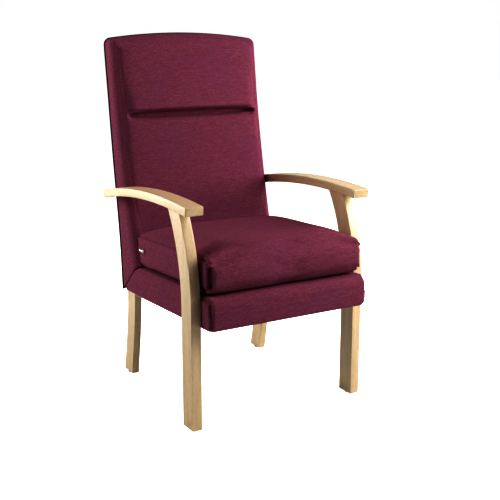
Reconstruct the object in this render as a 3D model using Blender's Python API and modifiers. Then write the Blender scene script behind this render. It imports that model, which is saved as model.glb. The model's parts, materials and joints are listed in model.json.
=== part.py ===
"""High-back fireside armchair: wooden frame, upholstered back and seat, loose seat cushion.

Metres, +Z up, and the sitter faces -Y. The origin is on the floor under the middle of the chair.
A depth is a distance backwards from the front face of the front feet, and a height is above the floor.
Run it with: blender --background --python part.py
"""
import math

import bmesh
import bpy
import numpy as np
from mathutils import Matrix, Vector

# ---------------------------------------------------------------- driving dimensions
FRONT_Y = -0.2939                 # world Y of the front face of the front feet
GAP = 0.0003                      # between two solids that touch
FABRIC = 0.0016                   # upholstery cloth with its backing

LEG_OUTER_X = 0.299
LEG_WIDTH = 0.032
LEG_DEPTH = 0.063
LEG_BEND_HEIGHT = 0.372           # straight below, an arc above
LEG_BEND_RADIUS = 0.550
LEG_INNER_X = LEG_OUTER_X - LEG_WIDTH
LEG_MIDDLE_X = LEG_OUTER_X - LEG_WIDTH / 2
LEG_EDGE = 0.0025                 # bevel along the legs
ARM_EDGE = 0.004                  # bevel along the arms

GLIDE_THICKNESS = 0.004
GLIDE_RADIUS = 0.012
GLIDE_PIN_RADIUS = 0.0012
GLIDE_PIN_LENGTH = 0.014
GLIDE_PIN_POINT = 0.001
GLIDE_EDGE = 0.0012

ARM_OUTER_X = 0.314
ARM_INNER_X = 0.256
ARM_THICKNESS = 0.027
ARM_FRONT_DEPTH = -0.005
ARM_REAR_DEPTH = 0.603
ARM_APEX_DEPTH = 0.175
ARM_APEX_HEIGHT = 0.676
ARM_RADIUS = 2.0                  # of the top face, seen from the side
ARM_REBATE_DEPTH = 0.487          # behind this the arm is let into the back's side
ARM_REBATE_GAP = 0.0007
ARM_REBATE_REACH = 0.100          # of the cutter, past the arm

RAKE = 0.047                      # the seat drops this much per metre of depth
RAIL_WIDTH = 0.025
RAIL_HEIGHT = 0.072
RAIL_TOP = 0.390                  # heights of raked faces are given at depth 0
RAIL_OUTER_X = 0.264
RAIL_INNER_X = RAIL_OUTER_X - RAIL_WIDTH
RAIL_FRONT_DEPTH = -0.042
RAIL_REAR_DEPTH = 0.4755
CROSS_RAIL_THICKNESS = 0.022
REAR_RAIL_DEPTH = 0.4840
REAR_RAIL_HEIGHT = 0.065
CORNER_BLOCK = 0.040
CORNER_BLOCK_HEIGHT = 0.045
CORNER_BLOCK_DROP = 0.008         # below the top of the rails
BACK_RAIL_THICKNESS = 0.020
BACK_RAIL_SETBACK = 0.003         # behind the front of the posts
BACK_RAIL_HEIGHTS = (("lower", 0.424, 0.470), ("middle", 0.660, 0.705), ("top", 1.036, 1.082))

ARM_DOWEL_DEPTHS = (0.088, 0.118)
ARM_DOWEL_RADIUS = 0.005
ARM_DOWEL_REACH = 0.019           # into the arm, and the same into the leg
BOLT_RADIUS = 0.004
BOLT_HEAD_RADIUS = 0.0065
BOLT_HEAD = 0.0045
LEG_BOLT_HEIGHTS = (0.334, 0.368)
LEG_BOLT_DEPTH = LEG_DEPTH / 2
LEG_BOLT_TIP_X = LEG_OUTER_X - 0.009
ARM_BOLT_DEPTH = 0.562
ARM_BOLT_TIP_X = ARM_OUTER_X - 0.011
RAIL_BOLT_HEIGHT = 0.335
RAIL_BOLT_REACH = 0.045           # into the side rail
RAIL_BOLT_STANDOFF = 0.0012       # between the head and the rear leg's curved face
HOLE_EXTRA = 0.001                # a hole is this much deeper than the screw or pin in it
THROUGH = 0.010                   # how far a cutter sticks out of the piece it cuts

SEAT_STRAPS = 5
STRAP_WIDTH = 0.050
STRAP_THICKNESS = 0.002
STRAP_PITCH = 0.1005
STRAP_END = 0.0035                # from a strap's end to the edge of the rail it is stapled to
BACK_STRAP_HEIGHTS = (0.540, 0.630, 0.770, 0.930)
BACK_STRAP_STANDOFF = 0.001       # between the straps and the posts

BASE_HALF_WIDTH = 0.2665
BASE_FRONT_DEPTH = -0.068
BASE_TOP = 0.414
BASE_BOTTOM = 0.312
BASE_ROUNDING = 0.024
BASE_TOP_REAR_DEPTH = 0.443
BASE_EDGE = 0.004
BASE_CUT_REAR_DEPTH = 0.700       # the cavity's and the opening's cutters end here, behind the base
BASE_OPENING_LOW = 0.200
BASE_OPENING_HIGH = 0.330
BASE_FOAM_INSET = FABRIC + 0.0012
BASE_FOAM_REAR_DEPTH = 0.438
DUST_COVER_THICKNESS = 0.0009
DUST_COVER_MARGIN = 0.001
DUST_COVER_REAR_DEPTH = 0.474
MITRE_LOW = (0.552, 0.2905)       # seam between the seat's and the back's side panels
MITRE_HIGH = (0.443, 0.3800)

BACK_HALF_WIDTH = 0.266
BACK_CORNER_RADIUS = 0.016
BACK_TOP_HEIGHT = 1.1265          # in the middle
BACK_TOP_CROWN = 0.018            # how much lower the top is at the corners
BACK_FOOT_HEIGHT = 0.392
BACK_CHANNEL_HEIGHT = 0.870       # sewn channel under the headrest
BACK_EDGE = 0.008                 # from the crease line back to the side band
BAND_CLEARANCE = 0.004            # from the mitre up to the side band's lower edge
BACK_CROWN = 0.012                # how far the middle stands in front of the crease line
SHEAR_END_HEIGHT = 1.000          # above this the rows of the side band are level
PANEL_GAP = 0.0004                # from a panel's edge to the side band
PANEL_INSET = 0.0022              # of the front and rear panels, inside the ends of the side band
REAR_PANEL_HEM = 0.006            # from the mitre's lower end up to the rear panel's edge
PILLOW_ACROSS = 10                # a higher power makes a flatter panel with tighter edges
PILLOW_ALONG = 6
BACK_FOAM_DEPTH = 0.0090          # of the foam's front, behind the crease line
BACK_FOAM_MARGIN = 0.014          # from the foam to the cloth at its edges
HEADREST_FOAM_TOP = 1.082
CHANNEL_HALF_HEIGHT = 0.010       # foam is left out this far above and below the channel

# Side views as (height, depth) knots, joined by a smooth line.
BACK_FRONT_KNOTS = ((0.385, 0.447), (0.510, 0.481), (0.650, 0.514), (0.870, 0.558), (1.130, 0.594))
BACK_REAR_KNOTS = ((0.280, 0.560), (0.490, 0.573), (0.650, 0.597), (0.870, 0.625), (1.130, 0.6565))
POST_FRONT_KNOTS = ((GLIDE_THICKNESS, 0.521), (0.210, 0.485), (0.300, 0.477), (0.400, 0.482),
                    (0.500, 0.506), (0.630, 0.537), (0.870, 0.588), (1.084, 0.614))
POST_REAR_KNOTS = ((GLIDE_THICKNESS, 0.585), (0.113, 0.561), (0.290, 0.539), (0.400, 0.545),
                   (0.630, 0.583), (0.870, 0.613), (1.084, 0.640))
POST_OUTER_X = 0.264
POST_INNER_X = 0.239

CUSHION_HALF_WIDTH = 0.260
CUSHION_FRONT_DEPTH = -0.059
CUSHION_REAR_DEPTH = 0.4585        # at the height of the zip
CUSHION_REAR_LEAN = 0.24          # the rear border leans back with the chair's back
CUSHION_BOTTOM = BASE_TOP + 0.0006
CUSHION_TOP = 0.526
CUSHION_ROUNDING = 0.016
CROWN_START = CUSHION_TOP - 0.020  # the back's crown begins behind the cushion's top
CROWN_RISE = 0.100

ZIP_HEIGHT = 0.455                # middle of the zip, on the cushion's rear border
ZIP_BAND = 0.022
ZIP_FRONT_DEPTH = 0.396           # where the zip ends on the sitter's right-hand side
ZIP_FAR_X = 0.232                 # where it ends on the rear face
ZIP_SLOT_GAP = 0.0004
ZIP_TAPE_THICKNESS = 0.0012

SLIDER_DEPTH = 0.408
SLIDER_LENGTH = 0.009
SLIDER_HEIGHT = 0.0085
SLIDER_BODY = 0.0024
SLIDER_EDGE = 0.0006
BRIDGE_RISE = 0.0026              # the wire bridge that holds the pull
BRIDGE_WIRE = 0.0009
BRIDGE_FOOT = 0.0010
BRIDGE_CHAMFER = 0.0008
BRIDGE_HALF_LENGTH = 0.0037
BRIDGE_HALF_HEIGHT = 0.0010
PULL_CLEARANCE = 0.0004
PULL_THICKNESS = 0.0009
PULL_LENGTH = 0.027
PULL_HALF_WIDTH = 0.0032
PULL_TIP = 0.002
EYE_LENGTH = 0.0050
EYE_HALF_WIDTH = 0.0019
PULL_BAR = 0.0006

COLLECTION = "fireside_armchair"
CUTTERS = "cutters"


# ---------------------------------------------------------------- scene and materials
def clear_scene():
    for obj in list(bpy.data.objects):
        bpy.data.objects.remove(obj, do_unlink=True)
    for name in (COLLECTION, CUTTERS):
        bpy.context.scene.collection.children.link(bpy.data.collections.new(name))


def material(name, colour, roughness, metallic=0.0):
    """One Principled material for each name."""
    mat = bpy.data.materials.get(name)
    if mat is None:
        mat = bpy.data.materials.new(name)
        mat.use_nodes = True
        shader = mat.node_tree.nodes["Principled BSDF"]
        shader.inputs["Base Color"].default_value = (*colour, 1.0)
        shader.inputs["Roughness"].default_value = roughness
        shader.inputs["Metallic"].default_value = metallic
    return mat


def beech():
    return material("beech", (0.60, 0.42, 0.24), 0.45)


def frame_timber():
    return material("frame_timber", (0.55, 0.41, 0.27), 0.75)


def burgundy_cloth():
    return material("burgundy_cloth", (0.125, 0.020, 0.048), 0.9)


def foam():
    return material("foam", (0.80, 0.76, 0.62), 0.95)


def webbing():
    return material("webbing", (0.32, 0.27, 0.20), 0.9)


def black_cloth():
    return material("black_cloth", (0.02, 0.02, 0.02), 0.95)


def zinc():
    return material("zinc", (0.62, 0.62, 0.60), 0.35, 1.0)


def zip_metal():
    return material("zip_metal", (0.80, 0.80, 0.80), 0.28, 1.0)


def dark_plastic():
    return material("dark_plastic", (0.035, 0.030, 0.028), 0.55)


# ---------------------------------------------------------------- geometry helpers
def at(x, depth, height):
    return Vector((x, FRONT_Y + depth, height))


def raked(height, depth):
    """Height of a face of the seat at a depth, from its height at depth 0."""
    return height - RAKE * depth


def smooth_line(knots):
    """A smooth function depth(height) through a few (height, depth) knots."""
    heights = np.array([knot[0] for knot in knots])
    depths = np.array([knot[1] for knot in knots])
    slopes = np.gradient(depths, heights)

    def depth(height):
        i = int(np.clip(np.searchsorted(heights, height) - 1, 0, len(heights) - 2))
        span = heights[i + 1] - heights[i]
        t = (height - heights[i]) / span
        rise = 2 * t ** 3 - 3 * t ** 2 + 1
        return float(rise * depths[i] + (1 - rise) * depths[i + 1]
                     + span * (t ** 3 - 2 * t ** 2 + t) * slopes[i]
                     + span * (t ** 3 - t ** 2) * slopes[i + 1])

    return depth


def add_object(name, mesh, mat, cutter=False):
    obj = bpy.data.objects.new(name, mesh)
    bpy.data.collections[CUTTERS if cutter else COLLECTION].objects.link(obj)
    if cutter:
        obj.hide_render = True
        obj.display_type = "WIRE"
    else:
        mesh.materials.append(mat)
    return obj


def prism(name, outline, low, high, mat, plane="side", cutter=False):
    """Extrude a flat outline from low to high.

    A side outline is (depth, height) and runs along X; a plan outline is (x, depth) and runs up.
    """
    curve = bpy.data.curves.new(name, "CURVE")
    curve.dimensions = "2D"
    curve.fill_mode = "BOTH"
    curve.extrude = (high - low) / 2
    spline = curve.splines.new("POLY")
    spline.points.add(len(outline) - 1)
    for point, (first, second) in zip(spline.points, outline):
        point.co = (first, second, 0.0, 1.0)
    spline.use_cyclic_u = True
    guide = bpy.data.objects.new(name, curve)
    bpy.data.collections[CUTTERS].objects.link(guide)
    middle = (low + high) / 2
    if plane == "side":
        guide.rotation_euler = (math.pi / 2, 0.0, math.pi / 2)
        guide.location = (middle, FRONT_Y, 0.0)
    else:
        guide.location = (0.0, FRONT_Y, middle)
    bpy.context.view_layer.update()
    mesh = bpy.data.meshes.new_from_object(guide.evaluated_get(bpy.context.evaluated_depsgraph_get()))
    mesh.transform(guide.matrix_world)
    bpy.data.objects.remove(guide)
    weld(mesh)
    return add_object(name, mesh, mat, cutter)


def weld(mesh):
    bm = bmesh.new()
    bm.from_mesh(mesh)
    bmesh.ops.remove_doubles(bm, verts=bm.verts, dist=1e-6)
    bmesh.ops.dissolve_limit(bm, angle_limit=math.radians(0.2), verts=bm.verts, edges=bm.edges)
    bmesh.ops.recalc_face_normals(bm, faces=bm.faces)
    bm.to_mesh(mesh)
    bm.free()
    mesh.name = "outline"


def box(name, low, high, mat, cutter=False):
    """A box between two corners given as (x, depth, height)."""
    first, second = at(*low), at(*high)
    mesh = bpy.data.meshes.new(name)
    bm = bmesh.new()
    bmesh.ops.create_cube(bm, size=1.0)
    bmesh.ops.scale(bm, vec=second - first, verts=bm.verts)
    bmesh.ops.translate(bm, vec=(first + second) / 2, verts=bm.verts)
    bm.to_mesh(mesh)
    bm.free()
    return add_object(name, mesh, mat, cutter)


def cylinder(name, start, end, radius, mat, sides=16, cutter=False):
    """A cylinder between two points given as (x, depth, height)."""
    first, second = at(*start), at(*end)
    axis = second - first
    mesh = bpy.data.meshes.new(name)
    bm = bmesh.new()
    bmesh.ops.create_cone(bm, cap_ends=True, segments=sides, radius1=radius, radius2=radius,
                          depth=axis.length)
    bm.to_mesh(mesh)
    bm.free()
    obj = add_object(name, mesh, mat, cutter)
    obj.location = (first + second) / 2
    obj.rotation_euler = axis.to_track_quat("Z", "Y").to_euler()
    return obj


def turned(name, profile, position, towards, mat, steps=16):
    """Turn a (radius, along) profile, listed top to bottom, round an axis from position."""
    mesh = bpy.data.meshes.new(name)
    bm = bmesh.new()
    verts = [bm.verts.new((radius, 0.0, along)) for radius, along in profile]
    for first, second in zip(verts, verts[1:]):
        bm.edges.new((first, second))
    bm.to_mesh(mesh)
    bm.free()
    obj = add_object(name, mesh, mat)
    obj.location = at(*position)
    obj.rotation_euler = Vector(towards).to_track_quat("Z", "Y").to_euler()
    screw = obj.modifiers.new("turn", "SCREW")
    screw.steps = steps
    screw.render_steps = steps
    screw.use_merge_vertices = True
    screw.merge_threshold = 0.00005
    return obj


def bevel(obj, width, segments=2):
    mod = obj.modifiers.new("edges", "BEVEL")
    mod.width = width
    mod.segments = segments
    mod.limit_method = "ANGLE"
    mod.angle_limit = math.radians(30)
    mod.use_clamp_overlap = True
    return obj


def cut(obj, *cutters, operation="DIFFERENCE"):
    for cutter in cutters:
        mod = obj.modifiers.new("cut", "BOOLEAN")
        mod.operation = operation
        mod.object = cutter
    return obj


def drill(obj, start, end, radius):
    """A round hole through obj."""
    hole = cylinder(obj.name + "_hole", start, end, radius, None, sides=12, cutter=True)
    return cut(obj, hole)


def sheet(name, rows, mat, offset=-1.0):
    """A cloth from a grid of points (x, depth, height), thickened against its normals or along them."""
    mesh = bpy.data.meshes.new(name)
    bm = bmesh.new()
    grid = [[bm.verts.new(at(*point)) for point in row] for row in rows]
    for upper, lower in zip(grid, grid[1:]):
        for i in range(len(upper) - 1):
            bm.faces.new((upper[i], upper[i + 1], lower[i + 1], lower[i]))
    bm.to_mesh(mesh)
    bm.free()
    obj = add_object(name, mesh, mat)
    mod = obj.modifiers.new("cloth", "SOLIDIFY")
    mod.thickness = FABRIC
    mod.offset = offset
    mod.use_even_offset = True
    return obj


def arc(centre, radius, start, stop, steps):
    """Points on a circle; angles in degrees, anticlockwise from the first axis."""
    angles = np.radians(np.linspace(start, stop, steps + 1))
    return [(centre[0] + radius * math.cos(a), centre[1] + radius * math.sin(a)) for a in angles]


# ---------------------------------------------------------------- side views
back_front = smooth_line(BACK_FRONT_KNOTS)
back_rear = smooth_line(BACK_REAR_KNOTS)
post_front = smooth_line(POST_FRONT_KNOTS)
post_rear = smooth_line(POST_REAR_KNOTS)


def arm_face(depth, radius=ARM_RADIUS):
    """Height of the arm's top face, or of a face concentric with it, at a depth."""
    centre = ARM_APEX_HEIGHT - ARM_RADIUS
    return centre + math.sqrt(radius ** 2 - (depth - ARM_APEX_DEPTH) ** 2)


def arm_underside(depth):
    return arm_face(depth, ARM_RADIUS - ARM_THICKNESS)


def arm_outline(steps=12):
    first = math.asin((ARM_FRONT_DEPTH - ARM_APEX_DEPTH) / ARM_RADIUS)
    last = math.asin((ARM_REAR_DEPTH - ARM_APEX_DEPTH) / ARM_RADIUS)
    centre = ARM_APEX_HEIGHT - ARM_RADIUS
    angles = np.linspace(first, last, steps + 1)

    def edge(radius):
        return [(ARM_APEX_DEPTH + radius * math.sin(a), centre + radius * math.cos(a)) for a in angles]

    return edge(ARM_RADIUS) + edge(ARM_RADIUS - ARM_THICKNESS)[::-1]


def leg_edge(side, steps=8):
    """Curved edge of a front leg up to the arm: side is +1 for its front edge, -1 for its rear."""
    radius = LEG_BEND_RADIUS + side * LEG_DEPTH / 2
    centre = LEG_DEPTH / 2 + LEG_BEND_RADIUS
    height = ARM_APEX_HEIGHT - ARM_THICKNESS
    for _ in range(12):
        angle = math.asin((height - LEG_BEND_HEIGHT) / radius)
        height = arm_underside(centre - radius * math.cos(angle)) - GAP
    angles = np.linspace(0.0, angle, steps + 1)
    return [(centre - radius * math.cos(a), LEG_BEND_HEIGHT + radius * math.sin(a)) for a in angles]


def front_leg_outline():
    front = leg_edge(1)
    rear = leg_edge(-1)
    top = [(d, arm_underside(d) - GAP) for d in np.linspace(front[-1][0], rear[-1][0], 4)[1:-1]]
    return [(0.0, GLIDE_THICKNESS)] + front + top + rear[::-1] + [(LEG_DEPTH, GLIDE_THICKNESS)]


def rear_leg_outline(steps=22):
    heights = np.linspace(GLIDE_THICKNESS, POST_FRONT_KNOTS[-1][0], steps + 1)
    front = [(post_front(h), h) for h in heights]
    rear = [(post_rear(h), h) for h in heights]
    return front + rear[::-1]


# ---------------------------------------------------------------- wooden frame
def sides():
    """(word, sign): left is the sitter's right-hand side at -X, as seen from the front."""
    return (("left", -1), ("right", 1))


def span(sign, inner, outer):
    """X range of a piece on one side, low first."""
    return tuple(sorted((sign * inner, sign * outer)))


def arm_bolt_height():
    return arm_face(ARM_BOLT_DEPTH) - ARM_THICKNESS / 2


def make_front_leg(word, sign):
    low, high = span(sign, LEG_INNER_X, LEG_OUTER_X)
    leg = bevel(prism("front_leg_" + word, front_leg_outline(), low, high, beech()), LEG_EDGE)
    middle = sign * LEG_MIDDLE_X
    for depth in ARM_DOWEL_DEPTHS:
        height = arm_underside(depth)
        drill(leg, (middle, depth, height - ARM_DOWEL_REACH - GAP), (middle, depth, height + THROUGH),
              ARM_DOWEL_RADIUS + GAP)
    for height in LEG_BOLT_HEIGHTS:
        drill(leg, (sign * (LEG_INNER_X - THROUGH), LEG_BOLT_DEPTH, height),
              (sign * (LEG_BOLT_TIP_X + HOLE_EXTRA), LEG_BOLT_DEPTH, height), BOLT_RADIUS + GAP)
    drill(leg, (middle, LEG_DEPTH / 2, -THROUGH), (middle, LEG_DEPTH / 2, glide_hole_top()), glide_hole())
    return leg


def glide_hole():
    return GLIDE_PIN_RADIUS + GAP


def glide_hole_top():
    return GLIDE_THICKNESS + GLIDE_PIN_LENGTH + HOLE_EXTRA


def rear_foot_depth():
    return (POST_FRONT_KNOTS[0][1] + POST_REAR_KNOTS[0][1]) / 2


def make_rear_leg(word, sign):
    """A swept leg that runs on upwards as the back's side post."""
    low, high = span(sign, POST_INNER_X, POST_OUTER_X)
    leg = bevel(prism("rear_leg_" + word, rear_leg_outline(), low, high, beech()), LEG_EDGE)
    middle = (low + high) / 2
    foot = rear_foot_depth()
    drill(leg, (middle, foot, -THROUGH), (middle, foot, glide_hole_top()), glide_hole())
    drill(leg, (sign * (POST_INNER_X - THROUGH), ARM_BOLT_DEPTH, arm_bolt_height()),
          (sign * (POST_OUTER_X + THROUGH), ARM_BOLT_DEPTH, arm_bolt_height()), BOLT_RADIUS + GAP)
    drill(leg, (middle, post_front(RAIL_BOLT_HEIGHT) - THROUGH, RAIL_BOLT_HEIGHT),
          (middle, post_rear(RAIL_BOLT_HEIGHT) + THROUGH, RAIL_BOLT_HEIGHT), BOLT_RADIUS + GAP)
    return leg


def make_arm(word, sign):
    low, high = span(sign, ARM_INNER_X, ARM_OUTER_X)
    arm = bevel(prism("arm_" + word, arm_outline(), low, high, beech()), ARM_EDGE)
    inner, outer = span(sign, ARM_INNER_X - THROUGH, BACK_HALF_WIDTH + ARM_REBATE_GAP)
    low, high = ARM_APEX_HEIGHT - ARM_REBATE_REACH, ARM_APEX_HEIGHT + ARM_REBATE_REACH
    rebate = box("arm_rebate_" + word, (inner, ARM_REBATE_DEPTH, low),
                 (outer, ARM_REAR_DEPTH + ARM_REBATE_REACH, high), None, True)
    cut(arm, rebate)
    middle = sign * LEG_MIDDLE_X
    for depth in ARM_DOWEL_DEPTHS:
        height = arm_underside(depth)
        drill(arm, (middle, depth, height - THROUGH), (middle, depth, height + ARM_DOWEL_REACH + GAP),
              ARM_DOWEL_RADIUS + GAP)
    drill(arm, (sign * (BACK_HALF_WIDTH - THROUGH), ARM_BOLT_DEPTH, arm_bolt_height()),
          (sign * (ARM_BOLT_TIP_X + HOLE_EXTRA), ARM_BOLT_DEPTH, arm_bolt_height()), BOLT_RADIUS + GAP)
    return arm


def make_dowels(word, sign):
    middle = sign * LEG_MIDDLE_X
    for place, depth in zip(("front", "rear"), ARM_DOWEL_DEPTHS):
        height = arm_underside(depth)
        cylinder(f"arm_dowel_{word}_{place}", (middle, depth, height - ARM_DOWEL_REACH),
                 (middle, depth, height + ARM_DOWEL_REACH), ARM_DOWEL_RADIUS, frame_timber(), sides=12)


def raked_bar(name, low, high, top, height, front, rear, mat):
    """A bar between two X values whose long faces follow the seat's rake."""
    outline = [(front, raked(top - height, front)), (rear, raked(top - height, rear)),
               (rear, raked(top, rear)), (front, raked(top, front))]
    return prism(name, outline, low, high, mat)


def make_side_rail(word, sign):
    low, high = span(sign, RAIL_INNER_X, RAIL_OUTER_X)
    rail = raked_bar("side_rail_" + word, low, high, RAIL_TOP, RAIL_HEIGHT, RAIL_FRONT_DEPTH,
                     RAIL_REAR_DEPTH, frame_timber())
    for height in LEG_BOLT_HEIGHTS:
        drill(rail, (sign * (RAIL_INNER_X - THROUGH), LEG_BOLT_DEPTH, height),
              (sign * (RAIL_OUTER_X + THROUGH), LEG_BOLT_DEPTH, height), BOLT_RADIUS + GAP)
    middle = sign * (RAIL_INNER_X + RAIL_WIDTH / 2)
    drill(rail, (middle, RAIL_REAR_DEPTH - RAIL_BOLT_REACH - 2 * HOLE_EXTRA, RAIL_BOLT_HEIGHT),
          (middle, RAIL_REAR_DEPTH + THROUGH, RAIL_BOLT_HEIGHT), BOLT_RADIUS + GAP)
    return rail


def make_cross_rails():
    half = RAIL_INNER_X - GAP
    raked_bar("front_rail", -half, half, RAIL_TOP, RAIL_HEIGHT, RAIL_FRONT_DEPTH,
              RAIL_FRONT_DEPTH + CROSS_RAIL_THICKNESS, frame_timber())
    raked_bar("rear_rail", -half, half, RAIL_TOP, REAR_RAIL_HEIGHT, REAR_RAIL_DEPTH,
              REAR_RAIL_DEPTH + CROSS_RAIL_THICKNESS, frame_timber())


def make_corner_blocks():
    """Glued triangles that stiffen the four inside corners of the seat frame."""
    front = RAIL_FRONT_DEPTH + CROSS_RAIL_THICKNESS + GAP
    rear = REAR_RAIL_DEPTH - GAP
    for word, sign in sides():
        x = sign * (RAIL_INNER_X - GAP)
        for place, depth, towards in (("front", front, 1), ("rear", rear, -1)):
            outline = [(x, depth), (x - sign * CORNER_BLOCK, depth), (x, depth + towards * CORNER_BLOCK)]
            top = raked(RAIL_TOP, depth) - CORNER_BLOCK_DROP
            prism(f"corner_block_{place}_{word}", outline, top - CORNER_BLOCK_HEIGHT, top,
                  frame_timber(), "plan")


def make_back_rails():
    """Cross rails between the back posts."""
    half = POST_INNER_X - GAP
    for place, low, high in BACK_RAIL_HEIGHTS:
        front = max(post_front(low), post_front(high)) + BACK_RAIL_SETBACK
        box(f"back_{place}_rail", (-half, front, low), (half, front + BACK_RAIL_THICKNESS, high),
            frame_timber())


def bolt(name, head, direction, length):
    """A bolt whose head's outer face is at head and whose shank runs along direction."""
    profile = [(0.0, 0.0), (BOLT_HEAD_RADIUS, 0.0), (BOLT_HEAD_RADIUS, -BOLT_HEAD),
               (BOLT_RADIUS, -BOLT_HEAD), (BOLT_RADIUS, -length), (0.0, -length)]
    return turned(name, profile, head, [-value for value in direction], zinc(), steps=12)


def make_bolts(word, sign):
    head_x = RAIL_INNER_X - GAP - BOLT_HEAD
    for place, height in zip(("lower", "upper"), LEG_BOLT_HEIGHTS):
        bolt(f"leg_bolt_{word}_{place}", (sign * head_x, LEG_BOLT_DEPTH, height), (sign, 0, 0),
             LEG_BOLT_TIP_X - head_x)
    bolt("arm_bolt_" + word, (sign * head_x, ARM_BOLT_DEPTH, arm_bolt_height()), (sign, 0, 0),
         ARM_BOLT_TIP_X - head_x)
    middle = sign * (POST_INNER_X + POST_OUTER_X) / 2
    head = post_rear(RAIL_BOLT_HEIGHT) + RAIL_BOLT_STANDOFF + BOLT_HEAD
    length = head - RAIL_REAR_DEPTH + RAIL_BOLT_REACH
    bolt("rail_bolt_" + word, (middle, head, RAIL_BOLT_HEIGHT), (0, -1, 0), length)


def make_glides():
    """Nail-on glides under the four feet."""
    profile = [(0.0, GLIDE_THICKNESS - GAP + GLIDE_PIN_LENGTH),
               (GLIDE_PIN_RADIUS, GLIDE_THICKNESS + GLIDE_PIN_LENGTH - GLIDE_PIN_POINT),
               (GLIDE_PIN_RADIUS, GLIDE_THICKNESS - GAP),
               (GLIDE_RADIUS, GLIDE_THICKNESS - GAP), (GLIDE_RADIUS, GLIDE_EDGE),
               (GLIDE_RADIUS - GLIDE_EDGE, 0.0), (0.0, 0.0)]
    for word, sign in sides():
        front_x = sign * LEG_MIDDLE_X
        rear_x = sign * (POST_INNER_X + POST_OUTER_X) / 2
        turned("glide_front_" + word, profile, (front_x, LEG_DEPTH / 2, 0.0), (0, 0, 1), dark_plastic())
        turned("glide_rear_" + word, profile, (rear_x, rear_foot_depth(), 0.0), (0, 0, 1), dark_plastic())


# ---------------------------------------------------------------- seat upholstery
def make_seat_straps():
    """Elastic webbing from the front rail to the rear rail."""
    front = RAIL_FRONT_DEPTH + STRAP_END
    rear = REAR_RAIL_DEPTH + CROSS_RAIL_THICKNESS - STRAP_END
    for i in range(SEAT_STRAPS):
        x = (i - (SEAT_STRAPS - 1) / 2) * STRAP_PITCH
        raked_bar(f"seat_strap_{i + 1}", x - STRAP_WIDTH / 2, x + STRAP_WIDTH / 2,
                  RAIL_TOP + GAP + STRAP_THICKNESS, STRAP_THICKNESS, front, rear, webbing())


def base_outline(inset=0.0, rear=None):
    """Side view of the seat base, drawn smaller all round by inset."""
    radius = BASE_ROUNDING - inset
    front = BASE_FRONT_DEPTH + inset
    middle = front + radius
    top = raked(BASE_TOP - inset, middle) - radius
    bottom = raked(BASE_BOTTOM + inset, middle) + radius
    outline = arc((middle, top), radius, 90, 180, 4) + arc((middle, bottom), radius, 180, 270, 4)
    if rear is not None:
        return outline + [(rear, raked(BASE_BOTTOM + inset, rear)), (rear, raked(BASE_TOP - inset, rear))]
    return outline + [MITRE_LOW, MITRE_HIGH,
                      (BASE_TOP_REAR_DEPTH, raked(BASE_TOP - inset, BASE_TOP_REAR_DEPTH))]


def make_base_cover():
    """Cloth over the seat base, open below and where the back stands."""
    half = BASE_HALF_WIDTH
    cover = prism("seat_base_cover", base_outline(), -half, half, burgundy_cloth())
    bevel(cover, BASE_EDGE)
    cavity = prism("base_cavity", base_outline(FABRIC, rear=BASE_CUT_REAR_DEPTH), FABRIC - half,
                   half - FABRIC, None, cutter=True)
    bevel(cavity, BASE_EDGE - FABRIC)
    opening_x = RAIL_OUTER_X + GAP
    opening = box("base_opening", (-opening_x, RAIL_FRONT_DEPTH - GAP, BASE_OPENING_LOW),
                  (opening_x, BASE_CUT_REAR_DEPTH, BASE_OPENING_HIGH), None, True)
    cut(cover, cavity, opening)
    for _, sign in sides():
        for height in LEG_BOLT_HEIGHTS:
            drill(cover, (sign * (half - THROUGH), LEG_BOLT_DEPTH, height),
                  (sign * (half + THROUGH), LEG_BOLT_DEPTH, height), BOLT_RADIUS + GAP)
    return cover


def make_base_foam():
    """Foam pad over the straps that rolls down over the front rail."""
    inset = BASE_FOAM_INSET
    radius = BASE_ROUNDING - inset
    front = BASE_FRONT_DEPTH + inset
    middle = front + radius
    top = raked(BASE_TOP - inset, middle) - radius
    bottom = raked(BASE_BOTTOM + inset, middle) + radius
    behind = RAIL_FRONT_DEPTH - GAP
    under = RAIL_TOP + STRAP_THICKNESS + 2 * GAP
    rear = BASE_FOAM_REAR_DEPTH
    low = raked(BASE_BOTTOM + inset, middle) + 2 * FABRIC
    outline = (arc((middle, top), radius, 90, 180, 4) + arc((middle, bottom), radius, 180, 250, 3)
               + [(behind, low), (behind, raked(under, behind)), (rear, raked(under, rear)),
                  (rear, raked(BASE_TOP - inset, rear))])
    half = BASE_HALF_WIDTH - inset - FABRIC / 2
    return prism("seat_base_foam", outline, -half, half, foam())


def make_dust_cover():
    """Black cloth under the seat frame."""
    top = RAIL_TOP - RAIL_HEIGHT - GAP
    half = RAIL_OUTER_X - DUST_COVER_MARGIN
    front = RAIL_FRONT_DEPTH + DUST_COVER_MARGIN
    return raked_bar("dust_cover", -half, half, top, DUST_COVER_THICKNESS, front,
                     DUST_COVER_REAR_DEPTH, black_cloth())


# ---------------------------------------------------------------- back upholstery
def back_top(x, inset=0.0):
    """Height of the back's top edge at x: a shallow crown with rounded corners."""
    half = BACK_HALF_WIDTH - inset
    radius = BACK_CORNER_RADIUS - inset
    crown = BACK_TOP_HEIGHT - inset - BACK_TOP_CROWN * (x / BACK_HALF_WIDTH) ** 2
    over = max(0.0, abs(x) - (half - radius))
    return crown - radius + math.sqrt(max(0.0, radius ** 2 - over ** 2))


def back_columns(inset=0.0, corner_steps=4, steps=6):
    """X positions across the back, closer together round the corners."""
    half = BACK_HALF_WIDTH - inset
    radius = BACK_CORNER_RADIUS - inset
    corner = [half - radius + radius * math.sin(math.radians(a))
              for a in np.linspace(90, 0, corner_steps + 1)]
    middle = list(np.linspace(half - radius, 0, steps + 1)[1:])
    right = corner + middle
    return [-x for x in right] + right[-2::-1]


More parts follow.
